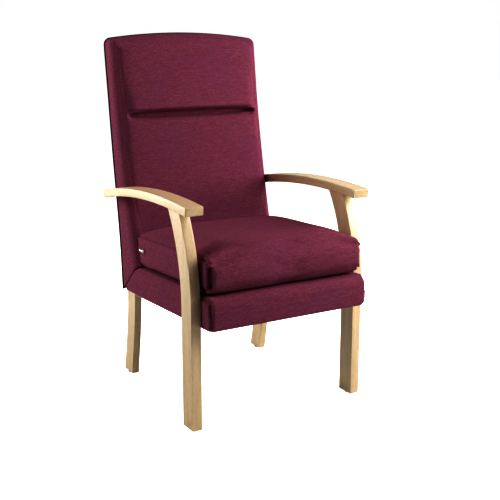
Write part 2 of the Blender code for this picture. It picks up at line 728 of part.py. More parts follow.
def side_shear(height):
    """How much lower the side band's rear edge is than its front edge, to meet the mitre."""
    full = MITRE_HIGH[1] - MITRE_LOW[1]
    return full * max(0.0, (SHEAR_END_HEIGHT - height) / (SHEAR_END_HEIGHT - MITRE_HIGH[1]))


def make_back_border():
    """One band of cloth up the left side, over the top and down the right side."""
    start = MITRE_HIGH[1] + BAND_CLEARANCE
    corner = back_top(BACK_HALF_WIDTH)
    heights = np.linspace(start, corner, 9)[:-1]
    columns = back_columns()
    left = [(-BACK_HALF_WIDTH, h) for h in heights]
    path = left + [(x, back_top(x)) for x in columns] + [(-x, h) for x, h in left[::-1]]
    rows = []
    for x, height in path:
        front = back_front(height) + BACK_EDGE
        drop = side_shear(height)
        rows.append([(x, front, height), (x, back_rear(height - drop) - GAP, height - drop)])
    border = sheet("back_border", rows, burgundy_cloth(), offset=1.0)
    for _, sign in sides():
        drill(border, (sign * (BACK_HALF_WIDTH - THROUGH), ARM_BOLT_DEPTH, arm_bolt_height()),
              (sign * (BACK_HALF_WIDTH + THROUGH), ARM_BOLT_DEPTH, arm_bolt_height()), BOLT_RADIUS + GAP)
    return border


def pillow(t, power):
    """1 in the middle of a section and 0 at its ends, for t from 0 to 1."""
    return 1.0 - abs(2.0 * t - 1.0) ** power


def clear_of_cushion(height):
    """0 behind the seat cushion, rising smoothly to 1 above it."""
    t = min(1.0, max(0.0, (height - CROWN_START) / CROWN_RISE))
    return t * t * (3 - 2 * t)


def make_back_cover():
    """The cloth that is leaned on: a long lower section and a headrest over a sewn channel."""
    inset = PANEL_GAP
    rows = []
    for section, steps in (("lower", np.linspace(0, 1, 11)), ("head", np.linspace(0, 1, 8)[1:])):
        for t in steps:
            row = []
            for x in back_columns(inset, corner_steps=3, steps=6):
                height = section_height(section, t, back_top(x, inset))
                across = 1.0 - abs(x / (BACK_HALF_WIDTH - inset)) ** PILLOW_ACROSS
                crown = BACK_CROWN * clear_of_cushion(height)
                bulge = (BACK_EDGE + crown) * across * pillow(t, PILLOW_ALONG)
                row.append((x, back_front(height) + BACK_EDGE - PANEL_INSET - bulge, height))
            rows.append(row)
    return sheet("inside_back_cover", rows, burgundy_cloth())


def section_height(section, t, top):
    """Height at t, from 0 to 1 up a section of the back's front."""
    if section == "lower":
        return BACK_FOOT_HEIGHT + t * (BACK_CHANNEL_HEIGHT - BACK_FOOT_HEIGHT)
    return BACK_CHANNEL_HEIGHT + t * (top - BACK_CHANNEL_HEIGHT)


def make_outside_back():
    """The panel that closes the back behind."""
    inset = FABRIC + PANEL_GAP
    low = MITRE_LOW[1] + REAR_PANEL_HEM
    rows = []
    for t in np.linspace(0, 1, 10):
        row = []
        for x in back_columns(inset, corner_steps=3, steps=3):
            height = low + t * (back_top(x, inset) - low)
            row.append((x, back_rear(height) - PANEL_INSET, height))
        rows.append(row)
    return sheet("outside_back_cover", rows, burgundy_cloth())


def foam_block(name, low, high, steps):
    """Foam between the webbing on the back posts and the inside back cover."""
    heights = np.linspace(low, high, steps + 1)
    front = [(back_front(h) + BACK_FOAM_DEPTH, h) for h in heights]
    rear = [(post_front(h) - 3 * STRAP_THICKNESS, h) for h in heights]
    half = BACK_HALF_WIDTH - BACK_FOAM_MARGIN
    return prism(name, front + rear[::-1], -half, half, foam())


def make_back_straps():
    """Elastic webbing across the front of the back posts."""
    half = BACK_HALF_WIDTH - BACK_FOAM_MARGIN
    behind = BACK_STRAP_STANDOFF
    before = BACK_STRAP_STANDOFF + STRAP_THICKNESS
    for i, height in enumerate(BACK_STRAP_HEIGHTS):
        low = height - STRAP_WIDTH / 2
        high = height + STRAP_WIDTH / 2
        outline = [(post_front(low) - before, low), (post_front(high) - before, high),
                   (post_front(high) - behind, high), (post_front(low) - behind, low)]
        prism(f"back_strap_{i + 1}", outline, -half, half, webbing())


# ---------------------------------------------------------------- loose seat cushion
def cushion_outline(inset=0.0):
    front = CUSHION_FRONT_DEPTH + inset
    bottom = CUSHION_BOTTOM + inset
    top = CUSHION_TOP - inset
    rear_low = lean_depth(CUSHION_REAR_DEPTH - inset, raked(bottom, CUSHION_REAR_DEPTH))
    rear_high = lean_depth(CUSHION_REAR_DEPTH - inset, raked(top, CUSHION_REAR_DEPTH))
    return [(front, raked(bottom, front)), (rear_low, raked(bottom, rear_low)),
            (rear_high, raked(top, rear_high)), (front, raked(top, front))]


def lean_depth(depth, height):
    """Depth of a point on the leaning rear border, from its depth at the height of the zip."""
    return depth + CUSHION_REAR_LEAN * (height - ZIP_HEIGHT)


def zip_path(inset, extra=0.0):
    """Plan line of the zip: along the left side, round the rear corner, along the rear face."""
    side = -CUSHION_HALF_WIDTH + inset
    rear = CUSHION_REAR_DEPTH - inset
    radius = CUSHION_ROUNDING - inset
    corner = arc((side + radius, rear - radius), radius, 180, 90, 4)
    return [(side, ZIP_FRONT_DEPTH - extra)] + corner + [(ZIP_FAR_X + extra, rear)]


def zip_band(name, low, high, outer, inner, mat, cutter=False, extra=0.0):
    outline = zip_path(outer, extra) + zip_path(inner, extra)[::-1]
    band = prism(name, outline, low, high, mat, "plan", cutter)
    lean = Matrix.Identity(4)
    lean[1][2] = CUSHION_REAR_LEAN
    lean[1][3] = -CUSHION_REAR_LEAN * ZIP_HEIGHT
    band.data.transform(lean)
    return band


def make_cushion():
    half = CUSHION_HALF_WIDTH
    cover = prism("cushion_cover", cushion_outline(), -half, half, burgundy_cloth())
    bevel(cover, CUSHION_ROUNDING, 3)
    cavity = prism("cushion_cavity", cushion_outline(FABRIC), FABRIC - half, half - FABRIC, None,
                   cutter=True)
    bevel(cavity, CUSHION_ROUNDING - FABRIC, 3)
    low = ZIP_HEIGHT - ZIP_BAND / 2
    high = ZIP_HEIGHT + ZIP_BAND / 2
    slot = zip_band("zip_slot", low - ZIP_SLOT_GAP, high + ZIP_SLOT_GAP, -FABRIC, 2 * FABRIC, None,
                    cutter=True, extra=ZIP_SLOT_GAP)
    cut(cover, cavity, slot)
    zip_band("zip_tape", low, high, 0.0, ZIP_TAPE_THICKNESS, black_cloth())
    inset = FABRIC + 2 * GAP
    core = prism("cushion_foam", cushion_outline(inset), inset - half, half - inset, foam())
    bevel(core, CUSHION_ROUNDING, 3)


def slider_face():
    """X of the slider's outer face."""
    return -CUSHION_HALF_WIDTH - GAP - SLIDER_BODY


def pull_axis():
    """X and depth of the pull's hinge."""
    return slider_face() - PULL_CLEARANCE - PULL_THICKNESS / 2, SLIDER_DEPTH


def make_zip_slider():
    """Slider body with a low wire bridge that the pull hangs on."""
    face = slider_face()
    body = box("zip_slider", (face, SLIDER_DEPTH - SLIDER_LENGTH / 2, ZIP_HEIGHT - SLIDER_HEIGHT / 2),
               (face + SLIDER_BODY, SLIDER_DEPTH + SLIDER_LENGTH / 2, ZIP_HEIGHT + SLIDER_HEIGHT / 2),
               zip_metal())
    bevel(body, SLIDER_EDGE)
    foot = face + BRIDGE_CHAMFER
    crest = face - BRIDGE_RISE
    shoulder = crest + BRIDGE_CHAMFER
    under = crest + BRIDGE_WIRE
    front = SLIDER_DEPTH - BRIDGE_HALF_LENGTH
    rear = SLIDER_DEPTH + BRIDGE_HALF_LENGTH
    outline = [(foot, front), (shoulder, front), (crest, front + BRIDGE_CHAMFER),
               (crest, rear - BRIDGE_CHAMFER), (shoulder, rear), (foot, rear),
               (foot, rear - BRIDGE_FOOT), (under, rear - BRIDGE_FOOT),
               (under, front + BRIDGE_FOOT), (foot, front + BRIDGE_FOOT)]
    bridge = prism("zip_bridge", outline, ZIP_HEIGHT - BRIDGE_HALF_HEIGHT, ZIP_HEIGHT + BRIDGE_HALF_HEIGHT,
                   None, "plan", cutter=True)
    cut(body, bridge, operation="UNION")
    return body


def make_zip_pull():
    """A flat tab whose end bar lies under the slider's bridge."""
    x, depth = pull_axis()
    start = depth - PULL_BAR
    width = PULL_HALF_WIDTH
    end = depth + PULL_LENGTH
    edge = [(start, 0.7 * width), (depth + EYE_LENGTH, width), (end - PULL_TIP, 0.8 * width),
            (end, 0.4 * width)]
    outline = ([(place, ZIP_HEIGHT - half) for place, half in edge]
               + [(place, ZIP_HEIGHT + half) for place, half in edge[::-1]])
    pull = prism("zip_pull", outline, x - PULL_THICKNESS / 2, x + PULL_THICKNESS / 2, zip_metal())
    eye = box("pull_eye", (x - PULL_THICKNESS, depth + PULL_BAR, ZIP_HEIGHT - EYE_HALF_WIDTH),
              (x + PULL_THICKNESS, depth + EYE_LENGTH, ZIP_HEIGHT + EYE_HALF_WIDTH), None, True)
    return cut(pull, eye)


# ---------------------------------------------------------------- the chair
def build():
    clear_scene()
    for word, sign in sides():
        make_front_leg(word, sign)
        make_rear_leg(word, sign)
        make_arm(word, sign)
        make_dowels(word, sign)
        make_side_rail(word, sign)
        make_bolts(word, sign)
    make_cross_rails()
    make_corner_blocks()
    make_back_rails()
    make_glides()
    make_seat_straps()
    make_base_cover()
    make_base_foam()
    make_dust_cover()
    make_back_border()
    make_back_cover()
    make_outside_back()
    foam_block("back_foam", BACK_FOOT_HEIGHT + BACK_FOAM_MARGIN, BACK_CHANNEL_HEIGHT - CHANNEL_HALF_HEIGHT, 8)
    foam_block("headrest_foam", BACK_CHANNEL_HEIGHT + CHANNEL_HALF_HEIGHT, HEADREST_FOAM_TOP, 4)
    make_back_straps()
    make_cushion()
    make_zip_slider()
    make_zip_pull()


build()
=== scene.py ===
"""Looks of the high-back fireside armchair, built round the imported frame.

Metres, +Z up, the sitter faces -Y. Soft pieces replace the plain upholstery solids; the wood and the
fittings stay as they are and get their finish here.
"""
import json
import math

import bpy
import numpy as np
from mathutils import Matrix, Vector
from mathutils.bvhtree import BVHTree


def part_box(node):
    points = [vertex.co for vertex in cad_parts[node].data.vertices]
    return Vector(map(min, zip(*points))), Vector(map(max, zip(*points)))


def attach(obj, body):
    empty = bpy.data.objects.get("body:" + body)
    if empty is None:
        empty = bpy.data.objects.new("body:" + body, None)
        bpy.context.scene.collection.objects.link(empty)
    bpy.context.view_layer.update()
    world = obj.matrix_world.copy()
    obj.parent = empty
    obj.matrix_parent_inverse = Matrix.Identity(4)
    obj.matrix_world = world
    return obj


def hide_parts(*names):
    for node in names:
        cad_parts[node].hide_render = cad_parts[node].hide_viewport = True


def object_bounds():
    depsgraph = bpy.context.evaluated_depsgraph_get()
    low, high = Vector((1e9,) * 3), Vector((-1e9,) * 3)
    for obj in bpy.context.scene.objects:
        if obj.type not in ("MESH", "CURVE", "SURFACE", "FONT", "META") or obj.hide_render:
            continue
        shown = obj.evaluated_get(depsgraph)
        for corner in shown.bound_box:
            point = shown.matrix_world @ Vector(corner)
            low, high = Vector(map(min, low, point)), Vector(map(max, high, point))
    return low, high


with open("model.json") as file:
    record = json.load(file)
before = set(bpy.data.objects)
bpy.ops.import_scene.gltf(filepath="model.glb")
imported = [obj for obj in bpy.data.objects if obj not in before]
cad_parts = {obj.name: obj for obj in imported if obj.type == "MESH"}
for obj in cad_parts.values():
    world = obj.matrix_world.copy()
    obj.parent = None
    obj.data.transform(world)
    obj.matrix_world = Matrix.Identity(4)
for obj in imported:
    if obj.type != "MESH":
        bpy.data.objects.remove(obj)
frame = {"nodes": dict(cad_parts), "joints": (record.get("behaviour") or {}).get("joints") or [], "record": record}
cad_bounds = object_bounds()

# ---------------------------------------------------------------- places taken from the frame
BODY_FRAME = "chair_frame"
BODY_CUSHION = "seat_cushion"
CLOTH_SLOT = "burgundy_cloth"

slide = next(joint for joint in frame["joints"] if joint["name"] == "cushion_slide")
RAKE = -slide["axis"][2] / slide["axis"][1]          # the seat rises this much per metre forwards
BASE_LOW, BASE_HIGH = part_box("seat_base_cover")
CUSHION_LOW, CUSHION_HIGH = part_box("cushion_cover")
BACK_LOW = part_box("inside_back_cover")[0]
BAND_LOW, BAND_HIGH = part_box("back_border")
REAR_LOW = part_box("outside_back_cover")[0]
TAPE_LOW, TAPE_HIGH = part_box("zip_tape")
CHANNEL_HEIGHT = (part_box("headrest_foam")[0].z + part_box("back_foam")[1].z) / 2

# ---------------------------------------------------------------- sizes of the soft shapes
# A STEPS value holds a fine step, a coarse step and the width of the fine stretch at each end.
# A GATHERS value holds depth, spacing and reach; a SEAM value holds depth and width.
CLEARANCE = 0.0006               # between soft pieces that touch
CLOTH_THICKNESS = 0.0016
WALL_PROBE = 0.0006              # just inside the covers' outer skin
FLARE = 0.006                    # seat and cushion bulge sideways in front of the posts
FLARE_RUN = 0.020
POST_GAP = 0.004                 # the bulge ends this far in front of the posts

CUSHION_SHRINK = (0.001, 0.009, 0.002)   # the cushion starts this much smaller before it swells
CUSHION_STEPS_X = (0.0030, 0.010, 0.024)
CUSHION_STEPS_Y = (0.0040, 0.010, 0.044)
CUSHION_STEPS_Z = (0.0036, 0.006, 0.036)
CUSHION_CROWN = 0.017            # how much the middle of the cushion's top stands above its edges
CUSHION_CROWN_ACROSS = 12        # exponents: the higher, the flatter the crown and the steeper its sides
CUSHION_CROWN_ALONG = 6
CUSHION_FULLER = 0.006           # the cushion stands higher towards its +X side
CUSHION_BOW = 0.004              # the middle of its front stands forward this much
CUSHION_FRONT_ROUNDING = 0.034
CUSHION_REAR_ROUNDING = 0.018
CUSHION_SIDE_ROUNDING = 0.009
CUSHION_REAR_LEAN = 0.24         # the rear border follows the chair's back
CUSHION_SEAM = (0.0062, 0.0052)
CUSHION_GATHERS = (0.0010, 0.030, 0.020)
CORNER_TUCK = (0.016, 0.0095)    # depth and width of the cushion's drawn-in front corners
CORNER_REACH = 0.022             # how far behind the front a corner's seam counts as its corner
CORNER_SHARE = 0.6               # of the cushion's half height, up and down from its middle

ZIP_SINK = 0.0016                # the cloth under the zip lies this far inside the CAD cushion
ZIP_REAR_SINK = 0.0075
ZIP_MARGIN = 0.004               # the sunk stretch runs on this far past the tape
ZIP_FADE = 0.006
ZIP_COVERED = 0.75               # share of the tape's height over which the cloth is fully sunk

BASE_FRONT_ROOM = 0.002          # kept inside the CAD cover for the swelling
BASE_SIDE_ROOM = 0.0004
BASE_STEPS_X = (0.0030, 0.011, 0.024)
BASE_STEPS_Y = (0.0040, 0.011, 0.050)
BASE_STEPS_Z = (0.0036, 0.006, 0.034)
BASE_TOP_ROUNDING = 0.030
BASE_TOP_SIDE_ROUNDING = 0.016
BASE_BOTTOM_ROUNDING = 0.012
BASE_SIDE_ROUNDING = 0.012
BASE_TAIL_ROUNDING = 0.001
BASE_CORNER = 0.016              # of the base's front corners
BASE_UNDERCUT = 0.004            # the front's lower edge lies this far behind its middle
BASE_HEM = 0.0025                # rounding of the base's lower edges, which lie close on the rails
BASE_FREE_TOP = 0.05             # this much of the top, behind the front, may swell
BASE_FRONT_SEAM = (0.0058, 0.0050)
BASE_LOOP_SEAM = (0.0010, 0.0030)
BASE_FRONT_REACH = 0.060         # how far behind the front the deep seam runs
BASE_GATHERS = (0.0006, 0.026, 0.018)
MITRE_GAP = 0.0010               # between the base and the side band's foot
OPENING_LIFT = 0.004             # the underside is lifted over the dust cover by this much
OPENING_SKIN = 0.003             # and only its lowest points are
OPENING_SIDE = 0.001             # the lifted stretch goes this far past the dust cover's sides
OPENING_SIDE_FADE = 0.003
OPENING_FRONT = 0.002
OPENING_REAR = 0.004
OPENING_FADE = 0.006
BASE_PROBES = (0.050, 0.400)     # how far behind the front the base's slope is measured

BACK_CROWN = 0.011
BACK_CROWN_EASE = 0.060          # the crown rises from the sides over this width
BACK_TOP_EASE = 0.030            # and fades out this far below the top
BACK_ROLL = 0.036                # radius of the roll round the back's front edge
ROLL_INSET = BACK_ROLL * (1 - math.sqrt(0.5))      # the seam lies half way round the roll
BACK_EDGE = ROLL_INSET           # the front panel's edge lies this far behind its face
BACK_CORNER_RADIUS = 0.016
BACK_TOP_CROWN = 0.018
BACK_STEPS_X = (0.0030, 0.0085, 0.024)
LOWER_STEPS = (0.0055, 0.020, 0.066)     # as shares of the height below the channel
UPPER_STEPS = (0.011, 0.036, 0.11)       # and above it
HEADREST_BULGE = 0.013           # of its lower edge over the channel
HEADREST_BULGE_HEIGHT = 0.150
CHANNEL_DEPTH = 0.034
CHANNEL_GAP = 0.0052             # half the height of the channel's open slot
CHANNEL_END = 0.030              # the channel fades out this far from the sides
CHANNEL_UPPER_LIP = 0.018
CHANNEL_LOWER_LIP = 0.019
CHANNEL_PIN_HEIGHT = 0.003       # the channel's floor is held this far up and down while the back swells
CHANNEL_PIN_END = 0.02
BACK_FLAT_TOP = 0.02             # the back is flat up to this far below the cushion's top
BACK_FLAT_EASE = 0.10

BAND_FOLD = 0.36                 # share of the band's width that is part of the roll
BAND_STRAIGHT = 0.88             # share up to which the band is plain
BAND_SWELL = 0.0012
BAND_SWELL_EASE = 0.012
BAND_FOOT_TUCK = 0.0018          # the band's lowest rows are drawn in
BAND_SLOPE_TOP = 0.98            # from this height down the band's rear edge drops below its front edge
NARROWEST_BAND = 0.03

REAR_INSET = 0.0022
REAR_STEPS_X = (0.004, 0.016, 0.020)
REAR_STEPS_UP = (0.006, 0.020, 0.03)
REAR_SINK = 0.0030
REAR_EDGE = 0.0022
REAR_EDGE_ROUNDING = 0.010
REAR_SAG = 0.004
EDGING_OUT = 0.0015              # the cord stands outside the band's skin
EDGING_BEHIND = 0.0028
EDGING_RADIUS = 0.0036

LINE_SAMPLES = 70                # rays that measure a side line of the back, and the degree of its fit
LINE_DEGREE = 6
CORNER_DROP = 0.036              # the side lines are measured up to this far below the top
SEAM_PROBE_START = 0.100         # and from this far above the band's foot
REAR_PROBE_START = 0.002

SWELL_FRAMES = 20
MOVE_SMOOTHING = 14
CUSHION_SWELL = (3.0, 0.012)     # pressure, and the furthest that a point may move
BASE_SWELL = (2.0, 0.006)
BACK_SWELL = (1.6, 0.006)
TINY = 1e-6                      # for telling which points lie on a face of the grid

# ---------------------------------------------------------------- colours, view and light
CLOTH_DARK = (0.172, 0.053, 0.082)
CLOTH_MID = (0.255, 0.081, 0.123)
CLOTH_LIGHT = (0.355, 0.129, 0.186)
CLOTH_PURPLE = (0.218, 0.074, 0.165)
BEECH_TONES = ((0.70, 0.555, 0.355), (0.585, 0.440, 0.255), (0.42, 0.28, 0.15))      # pale, tan, fleck
VIEW_YAW = math.radians(30.51)
VIEW_PITCH = math.radians(13.55)
VIEW_DISTANCE = 2.905
VIEW_RIGHT = 0.0575              # the picture's centre, off the middle of the chair's box
VIEW_UP = -0.1092
VIEW_LENS = 65.55
VIEW_SENSOR = 36.0
LIGHTS_AIM = (0.0, 0.0, 0.55)
AMBIENT = 0.02
PAPER_WHITE = 1.0
PAPER_GLOSS = 0.8                # how strongly the white paper shows in the lacquer's reflections
FLOOR_SIZE = 30.0
FLOOR_DROP = 0.0005
FLOOR_GLOW = 1.0
FLOOR_BOUNCE = 0.80
CONTRAST = 1.85


# ---------------------------------------------------------------- small helpers
def rounding(distance, radius):
    """0 at an edge, rising along a quarter circle to 1 at one radius from it."""
    t = np.clip(np.asarray(distance, float) / radius, 0.0, 1.0)
    return np.sqrt(1.0 - (1.0 - t) ** 2)


def smooth(t):
    t = np.clip(t, 0.0, 1.0)
    return t * t * (3.0 - 2.0 * t)


def spaced(low, high, fine, coarse, band):
    """Stations from low to high, close together within band of both ends."""
    count = max(2, int(round(band / fine)))
    inner = max(2, int(round((high - low - 2 * band) / coarse)))
    return np.concatenate((np.linspace(low, low + band, count + 1)[:-1],
                           np.linspace(low + band, high - band, inner + 1)[:-1],
                           np.linspace(high - band, high, count + 1)))


def new_object(name, points, faces):
    mesh = bpy.data.meshes.new(name)
    mesh.from_pydata([tuple(p) for p in points], [], faces)
    mesh.update()
    obj = bpy.data.objects.new(name, mesh)
    bpy.context.scene.collection.objects.link(obj)
    mesh.shade_smooth()
    return obj


def coordinates(obj):
    values = np.empty(len(obj.data.vertices) * 3, np.float32)
    obj.data.vertices.foreach_get("co", values)
    return values.reshape(-1, 3).astype(float)


def set_coordinates(obj, points):
    obj.data.vertices.foreach_set("co", np.asarray(points, np.float32).ravel())
    obj.data.update()


def apply_modifiers(obj):
    graph = bpy.context.evaluated_depsgraph_get()
    mesh = bpy.data.meshes.new_from_object(obj.evaluated_get(graph))
    obj.modifiers.clear()
    obj.data = mesh


def sheet_grid(name, first, second, place):
    """A sheet of quads; place maps two grids of stations to points."""
    a, b = np.meshgrid(first, second, indexing="ij")
    points = np.stack(place(a, b), axis=-1).reshape(-1, 3)
    columns = len(second)
    faces = [(i * columns + j, (i + 1) * columns + j, (i + 1) * columns + j + 1, i * columns + j + 1)
             for i in range(len(first) - 1) for j in range(columns - 1)]
    return new_object(name, points, faces)


def block_grid(name, xs, ys, zs, place):
    """The surface of a block as quads; place maps arrays of x, y and z to points."""
    index = {}
    corners = []

    def vertex(i, j, k):
        key = (i, j, k)
        if key not in index:
            index[key] = len(corners)
            corners.append((xs[i], ys[j], zs[k]))
        return index[key]

    faces = []
    last = (len(xs) - 1, len(ys) - 1, len(zs) - 1)
    for axis in range(3):
        a, b = [other for other in range(3) if other != axis]
        for end in (0, last[axis]):
            for i in range(last[a]):
                for j in range(last[b]):
                    ring = []
                    for step in ((0, 0), (1, 0), (1, 1), (0, 1)):
                        cell = [0, 0, 0]
                        cell[axis] = end
                        cell[a] = i + step[0]
                        cell[b] = j + step[1]
                        ring.append(vertex(*cell))
                    outwards = (end > 0) == (axis != 1)
                    faces.append(tuple(ring if outwards else ring[::-1]))
    grid = np.array(corners)
    points = np.stack(place(*grid.T), axis=-1)
    return new_object(name, points, faces), grid


def inflate(obj, pressure, cap, pins):
    """Let the cloth swell under pressure; no point moves further than cap."""
    before = coordinates(obj)
    group = obj.vertex_groups.new(name="pins")
    group.add([int(i) for i in np.nonzero(pins)[0]], 1.0, "REPLACE")
    cloth = obj.modifiers.new("cloth", "CLOTH")
    cloth.settings.quality = 5
    cloth.settings.mass = 0.3
    cloth.settings.tension_stiffness = 15
    cloth.settings.compression_stiffness = 15
    cloth.settings.shear_stiffness = 6
    cloth.settings.bending_stiffness = 0.5
    cloth.settings.use_pressure = True
    cloth.settings.uniform_pressure_force = pressure
    cloth.settings.effector_weights.gravity = 0.0
    cloth.settings.vertex_group_mass = "pins"
    scene = bpy.context.scene
    for number in range(1, SWELL_FRAMES + 1):
        scene.frame_set(number)
    apply_modifiers(obj)
    scene.frame_set(1)
    obj.vertex_groups.clear()
    move = spread(obj, coordinates(obj) - before, MOVE_SMOOTHING, pins)
    length = np.linalg.norm(move, axis=1, keepdims=True)
    set_coordinates(obj, before + move * np.minimum(1.0, cap / np.maximum(length, 1e-9)))


def spread(obj, move, rounds, pins):
    """Average a field of moves with each point's neighbours; pinned points keep theirs."""
    edges = np.empty(len(obj.data.edges) * 2, np.int32)
    obj.data.edges.foreach_get("vertices", edges)
    first, second = edges.reshape(-1, 2).T
    count = np.bincount(edges, minlength=len(move))[:, None]
    for _ in range(rounds):
        total = np.zeros_like(move)
        for axis in range(3):
            total[:, axis] = (np.bincount(first, move[second, axis], len(move))
                              + np.bincount(second, move[first, axis], len(move)))
        mean = 0.5 * move + 0.5 * total / np.maximum(count, 1)
        move = np.where(pins[:, None], move, mean)
    return move


def subdivide(obj):
    mod = obj.modifiers.new("finer", "SUBSURF")
    mod.levels = 1
    mod.render_levels = 1
    apply_modifiers(obj)
    obj.data.shade_smooth()


def thicken(obj, offset):
    mod = obj.modifiers.new("cloth_thickness", "SOLIDIFY")
    mod.thickness = CLOTH_THICKNESS
    mod.offset = offset
    apply_modifiers(obj)
    obj.data.shade_smooth()


def normals(obj):
    values = np.empty(len(obj.data.vertices) * 3, np.float32)
    obj.data.vertices.foreach_get("normal", values)
    return values.reshape(-1, 3).astype(float)


def distance_to_line(points, line):
    """Distance from each point to a polyline."""
    best = np.full(len(points), 1e9)
    for start, end in zip(line, line[1:]):
        along = end - start
        size = max(float(along @ along), 1e-12)
        t = np.clip(((points - start) @ along) / size, 0.0, 1.0)
        best = np.minimum(best, np.linalg.norm(points - start - t[:, None] * along, axis=1))
    return best


def sew(obj, line, depth, width):
    """Pull the cloth in along a seam."""
    points = coordinates(obj)
    distance = distance_to_line(points, line)
    pull = depth * np.exp(-(distance / width) ** 2)
    set_coordinates(obj, points - normals(obj) * pull[:, None])


def gather(obj, line, depth, spacing, reach):
    """Small puckers that run away from a seam."""
    points = coordinates(obj)
    lengths = np.linalg.norm(np.diff(line, axis=0), axis=1)
    starts = np.concatenate(((0.0,), np.cumsum(lengths)))[:-1]
    best = np.full(len(points), 1e9)
    place = np.zeros(len(points))
    for start, end, size, before in zip(line, line[1:], lengths, starts):
        along = end - start
        t = np.clip(((points - start) @ along) / max(size * size, 1e-12), 0.0, 1.0)
        distance = np.linalg.norm(points - start - t[:, None] * along, axis=1)
        closer = distance < best
        best = np.where(closer, distance, best)
        place = np.where(closer, before + t * size, place)
    turn = 2 * math.pi * place / spacing
    wave = 0.5 + 0.5 * np.sin(turn + 1.7 * np.sin(0.37 * turn + 0.6))
    pull = depth * wave ** 2 * np.exp(-(best / reach) ** 2)
    set_coordinates(obj, points - normals(obj) * pull[:, None])


def finish_piece(obj, body, material, slot, *nodes):
    obj.data.materials.clear()
    obj.data.materials.append(material)
    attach(obj, body)
    if nodes:
        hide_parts(*nodes)


# ---------------------------------------------------------------- lines measured on the CAD solids
def solid_tree(node):
    mesh = frame["nodes"][node].data
    return BVHTree.FromPolygons([vertex.co for vertex in mesh.vertices],
                                [face.vertices for face in mesh.polygons])


def side_line(node, direction, low, high):
    """Depth of the back's side edge against height: a smooth curve through points on the CAD solid."""
    tree = solid_tree(node)
    x = -BAND_HIGH.x + WALL_PROBE
    heights = np.linspace(low, high, LINE_SAMPLES)
    depths = [tree.ray_cast(Vector((x, -direction, height)), Vector((0.0, direction, 0.0)))[0].y
              for height in heights]
    return np.polynomial.Polynomial.fit(heights, depths, LINE_DEGREE)


CORNER_START = BAND_HIGH.z - CORNER_DROP
seam_line = side_line("back_border", 1.0, BAND_LOW.z + SEAM_PROBE_START, CORNER_START)
rear_line = side_line("back_border", -1.0, BAND_LOW.z + REAR_PROBE_START, CORNER_START)
HALF_WIDTH = BAND_HIGH.x
TOP_HEIGHT = BAND_HIGH.z
BAND_FOOT = BACK_LOW.z           # where the side band's front edge ends
BAND_DROP = BACK_LOW.z - BAND_LOW.z


def back_top(x, inset=0.0):
    """Height of the back's top edge: a shallow crown with rounded corners."""
    half = HALF_WIDTH - inset
    radius = BACK_CORNER_RADIUS - inset
    crown = TOP_HEIGHT - inset - BACK_TOP_CROWN * (x / HALF_WIDTH) ** 2
    over = np.maximum(0.0, np.abs(x) - (half - radius))
    return crown - radius + np.sqrt(np.maximum(0.0, radius ** 2 - over ** 2))


# ---------------------------------------------------------------- materials
def new_material(name):
    mat = bpy.data.materials.new(name)
    mat.use_nodes = True
    nodes = mat.node_tree.nodes
    return mat, nodes, mat.node_tree.links, nodes["Principled BSDF"]


def add(nodes, kind, **settings):
    node = nodes.new(kind)
    for key, value in settings.items():
        if key in node.inputs:
            node.inputs[key].default_value = value
        else:
            setattr(node, key, value)
    return node


def ramp(nodes, stops):
    node = nodes.new("ShaderNodeValToRGB")
    elements = node.color_ramp.elements
    while len(elements) < len(stops):
        elements.new(0.5)
    for element, (position, colour) in zip(elements, stops):
        element.position = position
        element.color = (*colour, 1.0) if len(colour) == 3 else colour
    return node


def stretched_noise(nodes, links, scale, detail=2.0, roughness=0.6):
    """Noise whose scale differs along X, Y and Z, in world space."""
    place = nodes.new("ShaderNodeNewGeometry")
    mapping = nodes.new("ShaderNodeVectorMath")
    mapping.operation = "MULTIPLY"
    mapping.inputs[1].default_value = scale
    noise = nodes.new("ShaderNodeTexNoise")
    noise.inputs["Scale"].default_value = 1.0
    noise.inputs["Detail"].default_value = detail
    noise.inputs["Roughness"].default_value = roughness
    links.new(place.outputs["Position"], mapping.inputs[0])
    links.new(mapping.outputs[0], noise.inputs["Vector"])
    return noise.outputs["Fac"]


def side_share(nodes, links):
    """1 on faces that look sideways and 0 elsewhere."""
    place = nodes.new("ShaderNodeNewGeometry")
    split = nodes.new("ShaderNodeSeparateXYZ")
    size = add(nodes, "ShaderNodeMath", operation="ABSOLUTE")
    step = nodes.new("ShaderNodeMapRange")
    step.inputs["From Min"].default_value = 0.6
    step.inputs["From Max"].default_value = 0.8
    links.new(place.outputs["True Normal"], split.inputs[0])
    links.new(split.outputs["X"], size.inputs[0])
    links.new(size.outputs[0], step.inputs["Value"])
    return step.outputs[0]


def mix_values(nodes, links, share, first, second):
    node = nodes.new("ShaderNodeMix")
    node.data_type = "FLOAT"
    for value, socket in ((share, node.inputs[0]), (first, node.inputs[2]), (second, node.inputs[3])):
        if isinstance(value, (int, float)):
            socket.default_value = value
        else:
            links.new(value, socket)
    return node.outputs[0]


def mix_colours(nodes, links, share, first, second):
    node = nodes.new("ShaderNodeMix")
    node.data_type = "RGBA"
    for value, socket in ((share, node.inputs[0]), (first, node.inputs[6]), (second, node.inputs[7])):
        if isinstance(value, (int, float)):
            socket.default_value = value
        elif isinstance(value, tuple):
            socket.default_value = (*value, 1.0)
        else:
            links.new(value, socket)
    return node.outputs[2]


